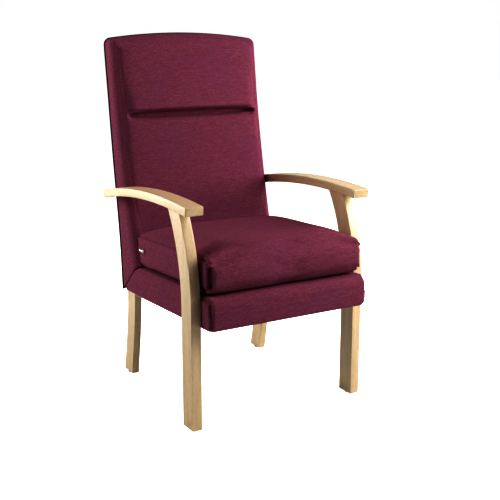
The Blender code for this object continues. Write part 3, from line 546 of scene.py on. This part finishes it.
def woven_cloth(name, dark, mid, light, purple, sheen):
    """Slubbed cloth: short streaks across the chair over a fine weave."""
    mat, nodes, links, shader = new_material(name)
    sideways = side_share(nodes, links)
    streak = mix_values(nodes, links, sideways,
                        stretched_noise(nodes, links, (110, 460, 460), 3.0, 0.7),
                        stretched_noise(nodes, links, (460, 110, 460), 3.0, 0.7))
    broad = mix_values(nodes, links, sideways,
                       stretched_noise(nodes, links, (34, 260, 260), 2.0),
                       stretched_noise(nodes, links, (260, 34, 260), 2.0))
    patch = stretched_noise(nodes, links, (7, 9, 9), 1.0)
    tone = mix_values(nodes, links, 0.30, streak, broad)
    shades = ramp(nodes, ((0.30, dark), (0.50, mid), (0.72, light)))
    links.new(tone, shades.inputs[0])
    hue = ramp(nodes, ((0.42, (0, 0, 0)), (0.62, (1, 1, 1))))
    links.new(patch, hue.inputs[0])
    tinted = mix_colours(nodes, links, hue.outputs[0], shades.outputs[0], purple)
    colour = mix_colours(nodes, links, 0.22, shades.outputs[0], tinted)
    links.new(colour, shader.inputs["Base Color"])
    thread = stretched_noise(nodes, links, (1500, 1500, 1500), 1.0)
    height = mix_values(nodes, links, 0.45, streak, thread)
    bump = add(nodes, "ShaderNodeBump", Strength=0.35, Distance=0.0006)
    links.new(height, bump.inputs["Height"])
    links.new(bump.outputs[0], shader.inputs["Normal"])
    shader.inputs["Roughness"].default_value = 0.88
    shader.inputs["Specular IOR Level"].default_value = 0.10
    shader.inputs["Sheen Weight"].default_value = sheen
    shader.inputs["Sheen Roughness"].default_value = 0.45
    shader.inputs["Sheen Tint"].default_value = (0.75, 0.45, 0.55, 1.0)
    return mat


def lacquered_beech(name, along, pale, tan, fleck):
    """Beech with its grain along "Y" or "Z"."""
    mat, nodes, links, shader = new_material(name)
    if along == "Y":
        grain_scale, fleck_scale, wave_scale = (70, 3.0, 70), (700, 60, 700), (26, 1.2, 26)
    else:
        grain_scale, fleck_scale, wave_scale = (70, 70, 3.0), (700, 700, 60), (26, 26, 1.2)
    grain = stretched_noise(nodes, links, grain_scale, 4.0, 0.6)
    figure = stretched_noise(nodes, links, wave_scale, 2.0, 0.5)
    flecks = stretched_noise(nodes, links, fleck_scale, 1.0, 0.5)
    shades = ramp(nodes, ((0.32, tan), (0.55, pale), (0.75, tuple(1.06 * c for c in pale))))
    blend = mix_values(nodes, links, 0.45, grain, figure)
    links.new(blend, shades.inputs[0])
    spots = ramp(nodes, ((0.60, (0, 0, 0)), (0.70, (1, 1, 1))))
    links.new(flecks, spots.inputs[0])
    share = mix_values(nodes, links, 0.5, 0.0, spots.outputs[0])
    links.new(mix_colours(nodes, links, share, shades.outputs[0], fleck), shader.inputs["Base Color"])
    rough = nodes.new("ShaderNodeMapRange")
    rough.inputs["To Min"].default_value = 0.34
    rough.inputs["To Max"].default_value = 0.50
    links.new(grain, rough.inputs["Value"])
    links.new(rough.outputs[0], shader.inputs["Roughness"])
    bump = add(nodes, "ShaderNodeBump", Strength=0.12, Distance=0.0004)
    links.new(grain, bump.inputs["Height"])
    links.new(bump.outputs[0], shader.inputs["Normal"])
    shader.inputs["Coat Weight"].default_value = 0.60
    shader.inputs["Coat Roughness"].default_value = 0.30
    return mat


def plain_finish(name, colour, roughness, metallic=0.0, variation=0.12, scale=300.0, bump_height=0.0002):
    """A finish with slight unevenness in its tone and surface."""
    mat, nodes, links, shader = new_material(name)
    grain = stretched_noise(nodes, links, (scale, scale, scale), 2.0)
    low = tuple(c * (1 - variation) for c in colour)
    high = tuple(min(1.0, c * (1 + variation)) for c in colour)
    shades = ramp(nodes, ((0.3, low), (0.7, high)))
    links.new(grain, shades.inputs[0])
    links.new(shades.outputs[0], shader.inputs["Base Color"])
    bump = add(nodes, "ShaderNodeBump", Strength=0.3, Distance=bump_height)
    links.new(grain, bump.inputs["Height"])
    links.new(bump.outputs[0], shader.inputs["Normal"])
    shader.inputs["Roughness"].default_value = roughness
    shader.inputs["Metallic"].default_value = metallic
    return mat


CLOTH = woven_cloth("burgundy_weave", CLOTH_DARK, CLOTH_MID, CLOTH_LIGHT, CLOTH_PURPLE, sheen=0.03)
# Near-black cord colour: a real cord at the rear seam, with painted shade in its colour for the dark line along
# the back's rear edge and top
DARK_CORD_PAINTED_SHADE = plain_finish("dark_cord_painted_shade", (0.022, 0.017, 0.017), 0.95)
BEECH_UPRIGHT = lacquered_beech("beech_upright", "Z", *BEECH_TONES)
BEECH_ARM = lacquered_beech("beech_arm", "Y", *BEECH_TONES)
TIMBER = plain_finish("sawn_timber", (0.50, 0.37, 0.22), 0.8, scale=60.0)
FOAM = plain_finish("open_foam", (0.75, 0.70, 0.52), 0.95, scale=900.0, bump_height=0.0005)
WEBBING = plain_finish("elastic_webbing", (0.20, 0.16, 0.11), 0.85, scale=700.0)
DUST_CLOTH = plain_finish("black_non_woven", (0.012, 0.012, 0.013), 0.95, scale=500.0)
ZIP_CLOTH = plain_finish("zip_band", (0.200, 0.055, 0.090), 0.85, scale=800.0)
ZINC = plain_finish("zinc_plate", (0.55, 0.55, 0.53), 0.35, 1.0, scale=200.0)
ZIP_METAL = plain_finish("nickel_zip", (0.92, 0.90, 0.90), 0.50, 0.15, variation=0.04, scale=200.0)
GLIDE = plain_finish("glide_plastic", (0.030, 0.026, 0.024), 0.5)


def finish_cad_nodes():
    """A finish for every CAD node, by its slot in the record."""
    finishes = {"frame_timber": TIMBER, "foam": FOAM, "webbing": WEBBING, "zinc_steel": ZINC,
                "zip_metal": ZIP_METAL, "dark_plastic": GLIDE, CLOTH_SLOT: CLOTH,
                "black_cloth": DUST_CLOTH, "beech": BEECH_UPRIGHT}
    for part in frame["record"]["subparts"]:
        obj = frame["nodes"][part["node"]]
        obj.data.materials.clear()
        obj.data.materials.append(finishes[part["material_slot"]])
    for node, material in (("arm_left", BEECH_ARM), ("arm_right", BEECH_ARM), ("zip_tape", ZIP_CLOTH)):
        frame["nodes"][node].data.materials.clear()
        frame["nodes"][node].data.materials.append(material)


def soften_shading(node):
    """Smooth shading over a wooden part's curves, with its edges kept."""
    obj = frame["nodes"][node]
    weld = obj.modifiers.new("weld", "WELD")
    weld.merge_threshold = 0.00002
    split = obj.modifiers.new("edges", "EDGE_SPLIT")
    split.split_angle = math.radians(35)
    even = obj.modifiers.new("even", "WEIGHTED_NORMAL")
    even.keep_sharp = True
    obj.data.shade_smooth()


# ---------------------------------------------------------------- seat cushion
def post_front():
    """Depth of the front posts' front face beside the cushion."""
    low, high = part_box("front_leg_left")
    tree = solid_tree("front_leg_left")
    start = Vector(((low.x + high.x) / 2, -1.0, (CUSHION_LOW.z + CUSHION_HIGH.z) / 2))
    return tree.ray_cast(start, Vector((0.0, 1.0, 0.0)))[0].y


POST_FRONT = post_front() - POST_GAP


def bulge(depth):
    """How far seat and cushion stand out sideways at a depth, in front of the posts."""
    return FLARE * smooth((POST_FRONT - depth) / FLARE_RUN)


def rounded_block(points, half, radius):
    """Points of a block's surface moved onto its rounded edges; radius holds one value per axis."""
    core = np.clip(points, radius - half, half - radius)
    offset = (points - core) / radius
    size = np.linalg.norm(offset, axis=1, keepdims=True)
    reach = np.abs(offset).max(axis=1, keepdims=True)
    return core + offset * reach / np.maximum(size, 1e-9) * radius


def make_cushion():
    """Loose cushion: a panel wrapped round its front, with a gusset sewn in at each side."""
    middle_y = (CUSHION_LOW.y + CUSHION_HIGH.y) / 2
    half_y = (CUSHION_HIGH.y - CUSHION_LOW.y) / 2 - CUSHION_SHRINK[1]
    drop = RAKE * (CUSHION_HIGH.y - CUSHION_LOW.y)
    half_z = (CUSHION_HIGH.z - CUSHION_LOW.z - drop) / 2 - CUSHION_SHRINK[2]
    middle_z = (CUSHION_HIGH.z + CUSHION_LOW.z) / 2
    half_x = CUSHION_HIGH.x - CUSHION_SHRINK[0]
    half = np.array((half_x, half_y, half_z))
    xs = spaced(-half_x, half_x, *CUSHION_STEPS_X)
    ys = spaced(-half_y, half_y, *CUSHION_STEPS_Y)
    zs = spaced(-half_z, half_z, *CUSHION_STEPS_Z)

    def place(x, y, z):
        radius = np.empty((len(x), 3))
        radius[:, 0] = CUSHION_SIDE_ROUNDING
        radius[:, 1] = np.where(y < 0, CUSHION_FRONT_ROUNDING, CUSHION_REAR_ROUNDING)
        radius[:, 2] = np.where(y < -half_y * 0.5, CUSHION_FRONT_ROUNDING, CUSHION_REAR_ROUNDING)
        x, y, z = rounded_block(np.stack((x, y, z), axis=1), half, radius).T
        across = 1 - (x / half_x) ** 2
        along = 1 - (y / half_y) ** CUSHION_CROWN_ALONG
        swell = CUSHION_CROWN * (1 - (x / half_x) ** CUSHION_CROWN_ACROSS)
        swell = swell + CUSHION_FULLER * smooth(x / half_x)
        z = z + swell * along * np.clip(z / half_z, 0, 1)
        x = x + np.sign(x) * bulge(middle_y + y)
        y = y - CUSHION_BOW * across * np.clip(-y / half_y, 0, 1) ** 4
        y = y + CUSHION_REAR_LEAN * z * np.clip(y / half_y, 0, 1) ** 6
        return x, middle_y + y, middle_z + z - RAKE * y

    cushion, grid = block_grid("loose_cushion", xs, ys, zs, place)
    on_side = np.abs(grid[:, 0]) > half_x - TINY
    on_end = (np.abs(grid[:, 1]) > half_y - TINY) | (np.abs(grid[:, 2]) > half_z - TINY)
    inflate(cushion, *CUSHION_SWELL, pins=on_side & on_end)
    rest_cushion(cushion)
    seams = [seam_loop(cushion, grid, sign * half_x, half_y, half_z) for sign in (-1, 1)]
    subdivide(cushion)
    for line in seams:
        sew_gusset(cushion, line, half_z)
    settle_zip(cushion)
    rest_cushion(cushion)
    finish_piece(cushion, BODY_CUSHION, CLOTH, CLOTH_SLOT, "cushion_cover", "cushion_foam")


def sew_gusset(cushion, line, half_z):
    """Draw the cloth in along a gusset's seam, most at the front corner, with puckers beside it."""
    sew(cushion, line, *CUSHION_SEAM)
    corner = line[line[:, 1] < CUSHION_LOW.y + CORNER_REACH]
    middle = corner[np.abs(corner[:, 2] - np.mean(corner[:, 2])) < CORNER_SHARE * half_z]
    sew(cushion, middle[np.argsort(middle[:, 2])], *CORNER_TUCK)
    gather(cushion, line, *CUSHION_GATHERS)


def seam_loop(obj, grid, x, half_y, half_z):
    """Points of the sewn edge between the wrap and one gusset, in order round the gusset."""
    points = coordinates(obj)
    on_gusset = np.abs(grid[:, 0] - x) < TINY
    on_end = np.abs(np.abs(grid[:, 1]) - half_y) < TINY
    on_top_or_bottom = np.abs(np.abs(grid[:, 2]) - half_z) < TINY
    on_edge = on_gusset & (on_end | on_top_or_bottom)
    found = points[on_edge]
    flat = grid[on_edge]
    order = np.argsort(np.arctan2(flat[:, 2] / half_z, flat[:, 1] / half_y))
    return np.vstack((found[order], found[order][:1]))


def rest_cushion(cushion):
    """Flat where the cushion lies on the base, and clear of posts and back."""
    points = coordinates(cushion)
    floor = CUSHION_LOW.z + RAKE * (CUSHION_HIGH.y - points[:, 1]) + CLEARANCE
    points[:, 2] = np.maximum(points[:, 2], floor)
    room = CUSHION_HIGH.x + bulge(points[:, 1])
    points[:, 0] = np.clip(points[:, 0], -room, room)
    wall = seam_line(points[:, 2]) - BACK_EDGE - CLEARANCE
    points[:, 1] = np.minimum(points[:, 1], wall)
    set_coordinates(cushion, points)


def settle_zip(cushion):
    """Sink the cloth under the zip's tape, on the side and round the rear corner."""
    points = coordinates(cushion)
    middle = (TAPE_LOW.z + TAPE_HIGH.z) / 2
    half = (TAPE_HIGH.z - TAPE_LOW.z) / 2
    near = 1 - smooth((np.abs(points[:, 2] - middle) - half * ZIP_COVERED) / ZIP_FADE)
    side = smooth((points[:, 1] - TAPE_LOW.y + ZIP_MARGIN) / ZIP_FADE) * (points[:, 0] < 0)
    limit_x = CUSHION_LOW.x + ZIP_SINK
    sunk_x = np.maximum(points[:, 0], limit_x)
    points[:, 0] = points[:, 0] + (sunk_x - points[:, 0]) * near * side
    rear_y = TAPE_HIGH.y - ZIP_REAR_SINK + CUSHION_REAR_LEAN * (points[:, 2] - middle)
    reach = smooth((TAPE_HIGH.x + ZIP_MARGIN - points[:, 0]) / ZIP_FADE)
    sunk_y = np.minimum(points[:, 1], rear_y)
    points[:, 1] = points[:, 1] + (sunk_y - points[:, 1]) * near * reach * (points[:, 1] > 0)
    set_coordinates(cushion, points)


# ---------------------------------------------------------------- seat base
def base_line(direction):
    """Height of the base's underside (+1) or top (-1) against depth, measured on the CAD solid."""
    tree = solid_tree("seat_base_cover")
    x = -BASE_HIGH.x + WALL_PROBE
    places = [BASE_LOW.y + probe for probe in BASE_PROBES]
    heights = [tree.ray_cast(Vector((x, y, 0.5 - direction * 0.5)), Vector((0.0, 0.0, direction)))[0].z
               for y in places]
    return np.polynomial.Polynomial.fit(places, heights, 1)


base_ground = base_line(1.0)
base_top = base_line(-1.0)


def make_seat_base():
    """Upholstered seat base with a gusset at each side that ends in the mitre seam."""
    front_y = BASE_LOW.y + BASE_FRONT_ROOM
    tail_y = BASE_HIGH.y
    half_x = BASE_HIGH.x - BASE_SIDE_ROOM
    half_y = (tail_y - front_y) / 2
    middle_y = (tail_y + front_y) / 2
    half_z = float(base_top(front_y) - base_ground(front_y)) / 2
    half = np.array((half_x, half_y, half_z))
    xs = spaced(-half_x, half_x, *BASE_STEPS_X)
    ys = spaced(-half_y, half_y, *BASE_STEPS_Y)
    zs = spaced(-half_z, half_z, *BASE_STEPS_Z)
    (mitre_y, mitre_z), (end_y, end_z) = band_foot_line()
    slope = (end_z - mitre_z) / (end_y - mitre_y)

    def place(x, y, z):
        x, y, z = rounded_block(np.stack((x, y, z), axis=1), half, base_radii(y, z, half_y)).T
        depth = middle_y + y
        x = x + np.sign(x) * bulge(depth)
        depth = depth + BASE_UNDERCUT * np.clip(-z / half_z, 0, 1) * np.clip(-y / half_y, 0, 1) ** 8
        ground = base_ground(depth)
        share = (z + half_z) / (2 * half_z)
        height = ground + share * (base_top(depth) - ground)
        roof = mitre_z + slope * (depth - mitre_y) - MITRE_GAP
        roof = np.maximum(roof, ground + share * MITRE_GAP)
        return x, depth, np.minimum(height, roof)

    base, grid = block_grid("seat_base", xs, ys, zs, place)
    fixed = (np.abs(grid[:, 0]) > half_x - TINY) | (grid[:, 2] < -half_z + TINY)
    fixed |= (grid[:, 2] > half_z - TINY) & (grid[:, 1] > -half_y + BASE_FREE_TOP)
    fixed |= grid[:, 1] > half_y - TINY
    inflate(base, *BASE_SWELL, pins=fixed)
    seams = [seam_loop(base, grid, sign * half_x, half_y, half_z) for sign in (-1, 1)]
    subdivide(base)
    for line in seams:
        front = line[line[:, 1] < BASE_LOW.y + BASE_FRONT_REACH]
        order = np.argsort(front[:, 2])
        sew(base, front[order], *BASE_FRONT_SEAM)
        gather(base, front[order], *BASE_GATHERS)
        sew(base, line[:-1], *BASE_LOOP_SEAM)
    settle_base(base)
    finish_piece(base, BODY_FRAME, CLOTH, CLOTH_SLOT, "seat_base_cover", "seat_base_foam")


def base_radii(y, z, half_y):
    """Rounding of the base along X, Y and Z: full at the front, tight along the hem and at the tail."""
    over = z > 0
    radius = np.empty((len(y), 3))
    radius[:, 0] = np.where(over, BASE_SIDE_ROUNDING, BASE_HEM)
    radius[:, 0] = np.where(y < -half_y + BASE_CORNER, BASE_CORNER, radius[:, 0])
    radius[:, 1] = np.where(over, BASE_TOP_ROUNDING, BASE_BOTTOM_ROUNDING)
    radius[:, 1] = np.where(y > 0, BASE_TAIL_ROUNDING, radius[:, 1])
    radius[:, 2] = np.where(over, BASE_TOP_SIDE_ROUNDING, BASE_HEM)
    lower_front = (y < -half_y + BASE_BOTTOM_ROUNDING) & (z < 0)
    radius[:, 2] = np.where(lower_front, BASE_BOTTOM_ROUNDING, radius[:, 2])
    upper_front = (y < -half_y + BASE_TOP_ROUNDING) & over
    radius[:, 2] = np.where(upper_front, BASE_TOP_ROUNDING, radius[:, 2])
    return radius


def settle_base(base):
    """Under the cushion the base stays flat, and it stands clear of the dust cover and the legs."""
    points = coordinates(base)
    room = BASE_HIGH.x + bulge(points[:, 1])
    points[:, 0] = np.clip(points[:, 0], -room, room)
    points[:, 2] = np.minimum(points[:, 2], base_top(points[:, 1]))
    ground = base_ground(points[:, 1])
    low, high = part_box("dust_cover")
    opening = smooth((high.x + OPENING_SIDE - np.abs(points[:, 0])) / OPENING_SIDE_FADE)
    opening = opening * smooth((points[:, 1] - low.y + OPENING_FRONT) / OPENING_FADE)
    opening = opening * smooth((high.y + OPENING_REAR - points[:, 1]) / OPENING_FADE)
    points[:, 2] += OPENING_LIFT * opening * (points[:, 2] < ground + OPENING_SKIN)
    set_coordinates(base, points)


def band_foot_line():
    """Lower edge of the back's side band: its front end and its rear end, as (depth, height)."""
    front = float(seam_line(BAND_FOOT)), BAND_FOOT
    rear = float(rear_line(BAND_FOOT - BAND_DROP)), BAND_FOOT - BAND_DROP
    return front, rear


# ---------------------------------------------------------------- back
def roll_depth(distance):
    """How far the roll's surface lies behind its face, at a distance inside the seam."""
    run = np.clip(BACK_ROLL - ROLL_INSET - distance, 0.0, BACK_ROLL)
    return BACK_ROLL - np.sqrt(BACK_ROLL ** 2 - run ** 2)


def make_back_front():
    """The panel that is leaned on, in two filled sections either side of a deep channel."""
    half = HALF_WIDTH - ROLL_INSET
    low = BACK_LOW.z
    columns = spaced(-half, half, *BACK_STEPS_X)
    lower_rows = spaced(0.0, 1.0, *LOWER_STEPS) - 1.0
    upper_rows = spaced(0.0, 1.0, *UPPER_STEPS)
    rows = np.concatenate((lower_rows, upper_rows[1:]))

    def place(t, x):
        top = back_top(x, ROLL_INSET)
        height = np.where(t < 0, low + (t + 1) * (CHANNEL_HEIGHT - low),
                          CHANNEL_HEIGHT + t * (top - CHANNEL_HEIGHT))
        to_side = half - np.abs(x)
        across = 0.25 * (1 - (x / half) ** 2) + 0.75 * rounding(to_side, BACK_CROWN_EASE)
        crown = BACK_CROWN * above_cushion(height) * across
        face = seam_line(height) - BACK_EDGE - crown
        nearest = np.minimum(to_side, top - height)
        fade = smooth((to_side - CHANNEL_END * 0.35) / CHANNEL_END)
        above = np.maximum(height - CHANNEL_HEIGHT - CHANNEL_GAP, 0)
        below = np.maximum(CHANNEL_HEIGHT - CHANNEL_GAP - height, 0)
        upper_lip = rounding(above, CHANNEL_UPPER_LIP)
        lip = np.where(height > CHANNEL_HEIGHT, upper_lip, rounding(below, CHANNEL_LOWER_LIP))
        face = face - HEADREST_BULGE * fade * upper_lip * (1 - smooth(above / HEADREST_BULGE_HEIGHT))
        at_top = 1 - rounding(top - height, BACK_TOP_EASE)
        depth = face + roll_depth(nearest) + crown * at_top + CHANNEL_DEPTH * fade * (1 - lip)
        return x, depth, height

    panel = sheet_grid("back_front_panel", rows, columns, place)
    points = coordinates(panel)
    on_edge = np.abs(points[:, 0]) > half - 1e-5
    on_edge |= points[:, 2] < low + 1e-5
    on_edge |= points[:, 2] > back_top(points[:, 0], ROLL_INSET) - 1e-5
    in_channel = np.abs(points[:, 2] - CHANNEL_HEIGHT) < CHANNEL_PIN_HEIGHT
    in_channel &= np.abs(points[:, 0]) < half - CHANNEL_PIN_END
    inflate(panel, *BACK_SWELL, pins=on_edge | in_channel)
    subdivide(panel)
    thicken(panel, -1.0)
    covered = ("inside_back_cover", "back_foam", "headrest_foam")
    finish_piece(panel, BODY_FRAME, CLOTH, CLOTH_SLOT, *covered)


def above_cushion(height):
    """0 behind the seat cushion, rising to 1 above it."""
    return smooth((height - CUSHION_HIGH.z + BACK_FLAT_TOP) / BACK_FLAT_EASE)


def band_path(inset=0.0):
    """Points (x, height) up the left side of the back, over the top and down the right side."""
    half = HALF_WIDTH - inset
    radius = BACK_CORNER_RADIUS - inset
    corner = float(back_top(np.array(half), inset))
    rise = [(-half, height) for height in np.linspace(BAND_FOOT, corner, 60)[:-1]]
    turn = [half - radius + radius * math.cos(math.radians(a)) for a in np.linspace(0, 90, 8)]
    across = list(np.linspace(half - radius, 0, 24)[1:])
    xs = [-x for x in turn + across] + (turn + across)[-2::-1]
    top = [(x, float(back_top(np.array(x), inset))) for x in xs]
    return np.array(rise + top + [(-x, height) for x, height in rise[::-1]])


def band_drop(height):
    """How far the band's rear edge lies below its front edge."""
    return BAND_DROP * np.clip((BAND_SLOPE_TOP - height) / (BAND_SLOPE_TOP - BAND_FOOT), 0, 1)


def make_back_band():
    """Side band of the back: up one side, over the top and down the other."""
    path = band_path()
    steps = np.arange(len(path), dtype=float)
    across = np.concatenate((np.linspace(0, BAND_FOLD, 10)[:-1],
                             np.linspace(BAND_FOLD, BAND_STRAIGHT, 9)[:-1],
                             np.linspace(BAND_STRAIGHT, 1, 6)))
    tangent = np.gradient(path, axis=0)
    outward = np.stack((-tangent[:, 1], tangent[:, 0]), axis=1)
    outward /= np.linalg.norm(outward, axis=1, keepdims=True)

    def place(i, t):
        index = i.astype(int)
        x, height = path[index, 0], path[index, 1]
        front = seam_line(height)
        drop = band_drop(height)
        rear = rear_line(height - drop)
        depth = front + t * (rear - front)
        width = np.maximum(rear - front, NARROWEST_BAND)
        to_edge = np.minimum(t, 1 - t) * width
        swell = BAND_SWELL * rounding(to_edge, BAND_SWELL_EASE) - roll_depth(t * width)
        foot = np.minimum(index, len(path) - 1 - index)
        swell = swell - BAND_FOOT_TUCK * (1 - smooth(foot / 1.5))
        return (x + outward[index, 0] * swell, depth, height + outward[index, 1] * swell - drop * t)

    band = sheet_grid("back_side_band", steps, across, place)
    subdivide(band)
    thicken(band, 1.0)
    finish_piece(band, BODY_FRAME, CLOTH, CLOTH_SLOT, "back_border")


def make_back_rear():
    """The outside back, drawn tight inside the band."""
    half = HALF_WIDTH - REAR_INSET
    low = REAR_LOW.z
    columns = spaced(-half, half, *REAR_STEPS_X)
    rows = spaced(0.0, 1.0, *REAR_STEPS_UP)

    def place(t, x):
        top = back_top(x, REAR_INSET)
        height = low + t * (top - low)
        edge = rounding(np.minimum(half - np.abs(x), top - height), REAR_EDGE_ROUNDING)
        sag = REAR_SAG * (1 - (x / half) ** 2) * np.sin(math.pi * t)
        return x, rear_line(height) - REAR_SINK + REAR_EDGE * edge - sag, height

    panel = sheet_grid("back_rear_panel", rows, columns, place)
    subdivide(panel)
    thicken(panel, 1.0)
    finish_piece(panel, BODY_FRAME, CLOTH, CLOTH_SLOT, "outside_back_cover")


def make_back_edging():
    """A cord along the seam between the side band and the outside back; its near-black colour is partly the cord's
    own and partly painted shade along the back's rear edge.
    """
    path = band_path(-EDGING_OUT)
    drops = band_drop(path[:, 1])
    line = [(x, float(rear_line(height - drop)) + EDGING_BEHIND, height - drop)
            for (x, height), drop in zip(path, drops)]
    edging = tube("back_edging", line, EDGING_RADIUS)
    finish_piece(edging, BODY_FRAME, DARK_CORD_PAINTED_SHADE, CLOTH_SLOT)


def tube(name, line, radius):
    """A round cord along a line of points, as a mesh."""
    curve = bpy.data.curves.new(name, "CURVE")
    curve.dimensions = "3D"
    curve.bevel_depth = radius
    curve.bevel_resolution = 2
    curve.use_fill_caps = True
    spline = curve.splines.new("POLY")
    spline.points.add(len(line) - 1)
    for point, place in zip(spline.points, line):
        point.co = (*place, 1.0)
    guide = bpy.data.objects.new(name + "_guide", curve)
    bpy.context.scene.collection.objects.link(guide)
    graph = bpy.context.evaluated_depsgraph_get()
    mesh = bpy.data.meshes.new_from_object(guide.evaluated_get(graph))
    bpy.data.objects.remove(guide)
    obj = bpy.data.objects.new(name, mesh)
    bpy.context.scene.collection.objects.link(obj)
    mesh.shade_smooth()
    return obj


# ---------------------------------------------------------------- studio
def make_camera():
    low, high = cad_bounds
    centre = (Vector(low) + Vector(high)) / 2
    forward = Vector((math.sin(VIEW_YAW) * math.cos(VIEW_PITCH),
                      math.cos(VIEW_YAW) * math.cos(VIEW_PITCH), -math.sin(VIEW_PITCH)))
    right = Vector((math.cos(VIEW_YAW), -math.sin(VIEW_YAW), 0.0))
    up = right.cross(forward)
    data = bpy.data.cameras.new("camera")
    data.lens = VIEW_LENS
    data.sensor_width = VIEW_SENSOR
    camera = bpy.data.objects.new("camera", data)
    camera.location = centre + right * VIEW_RIGHT + up * VIEW_UP - forward * VIEW_DISTANCE
    camera.rotation_euler = forward.to_track_quat("-Z", "Y").to_euler()
    bpy.context.scene.collection.objects.link(camera)
    bpy.context.scene.camera = camera


def area_light(name, place, size, power):
    data = bpy.data.lights.new(name, "AREA")
    data.shape = "SQUARE"
    data.size = size
    data.energy = power
    light = bpy.data.objects.new(name, data)
    light.location = place
    light.rotation_euler = (Vector(LIGHTS_AIM) - Vector(place)).to_track_quat("-Z", "Y").to_euler()
    bpy.context.scene.collection.objects.link(light)


def seen_by_camera(nodes, links, seen, unseen, output, gloss=0.0):
    """One shader for what the camera sees directly and another for the light that comes off it."""
    rays = nodes.new("ShaderNodeLightPath")
    mix = nodes.new("ShaderNodeMixShader")
    share = add(nodes, "ShaderNodeMath", operation="MULTIPLY_ADD")
    share.use_clamp = True
    links.new(rays.outputs["Is Glossy Ray"], share.inputs[0])
    share.inputs[1].default_value = gloss
    links.new(rays.outputs["Is Camera Ray"], share.inputs[2])
    links.new(share.outputs[0], mix.inputs[0])
    links.new(unseen, mix.inputs[1])
    links.new(seen, mix.inputs[2])
    links.new(mix.outputs[0], output)


def make_backdrop():
    world = bpy.data.worlds.new("studio")
    world.use_nodes = True
    nodes = world.node_tree.nodes
    links = world.node_tree.links
    soft = nodes["Background"]
    soft.inputs["Color"].default_value = (1.0, 1.0, 1.0, 1.0)
    soft.inputs["Strength"].default_value = AMBIENT
    paper = nodes.new("ShaderNodeBackground")
    paper.inputs["Color"].default_value = (1.0, 1.0, 1.0, 1.0)
    paper.inputs["Strength"].default_value = PAPER_WHITE
    seen_by_camera(nodes, links, paper.outputs[0], soft.outputs[0], nodes["World Output"].inputs[0],
                   PAPER_GLOSS)
    bpy.context.scene.world = world


def make_floor():
    bpy.ops.mesh.primitive_plane_add(size=FLOOR_SIZE, location=(0.0, 0.0, -FLOOR_DROP))
    floor = bpy.context.object
    floor.name = "floor"
    mat, nodes, links, shader = new_material("pale_floor")
    shader.inputs["Base Color"].default_value = (0.85, 0.85, 0.85, 1.0)
    shader.inputs["Roughness"].default_value = 0.9
    shader.inputs["Emission Color"].default_value = (1.0, 1.0, 1.0, 1.0)
    shader.inputs["Emission Strength"].default_value = FLOOR_GLOW
    matte = nodes.new("ShaderNodeBsdfDiffuse")
    matte.inputs["Color"].default_value = (FLOOR_BOUNCE, FLOOR_BOUNCE, FLOOR_BOUNCE, 1.0)
    seen_by_camera(nodes, links, shader.outputs[0], matte.outputs[0], nodes["Material Output"].inputs[0])
    floor.data.materials.append(mat)


def make_studio():
    bpy.context.scene.view_settings.view_transform = "Standard"
    bpy.context.scene.view_settings.gamma = 1.0 / CONTRAST
    make_backdrop()
    make_floor()
    area_light("key_right", (1.7, -1.25, 1.8), size=2.2, power=116)
    area_light("low_right", (1.7, -0.8, 1.0), size=1.0, power=8)
    area_light("side_left", (-2.2, 1.0, 1.7), size=1.2, power=42)
    area_light("low_left_rear", (-1.5, 1.7, 0.7), size=1.2, power=21)
    area_light("high_left", (-1.4, 0.5, 2.4), size=1.2, power=8)


# ---------------------------------------------------------------- the scene
finish_cad_nodes()
for wooden in ("arm_left", "arm_right", "front_leg_left", "front_leg_right", "rear_leg_left",
               "rear_leg_right"):
    soften_shading(wooden)
make_cushion()
make_seat_base()
make_back_front()
make_back_band()
make_back_rear()
make_back_edging()
make_studio()
make_camera()
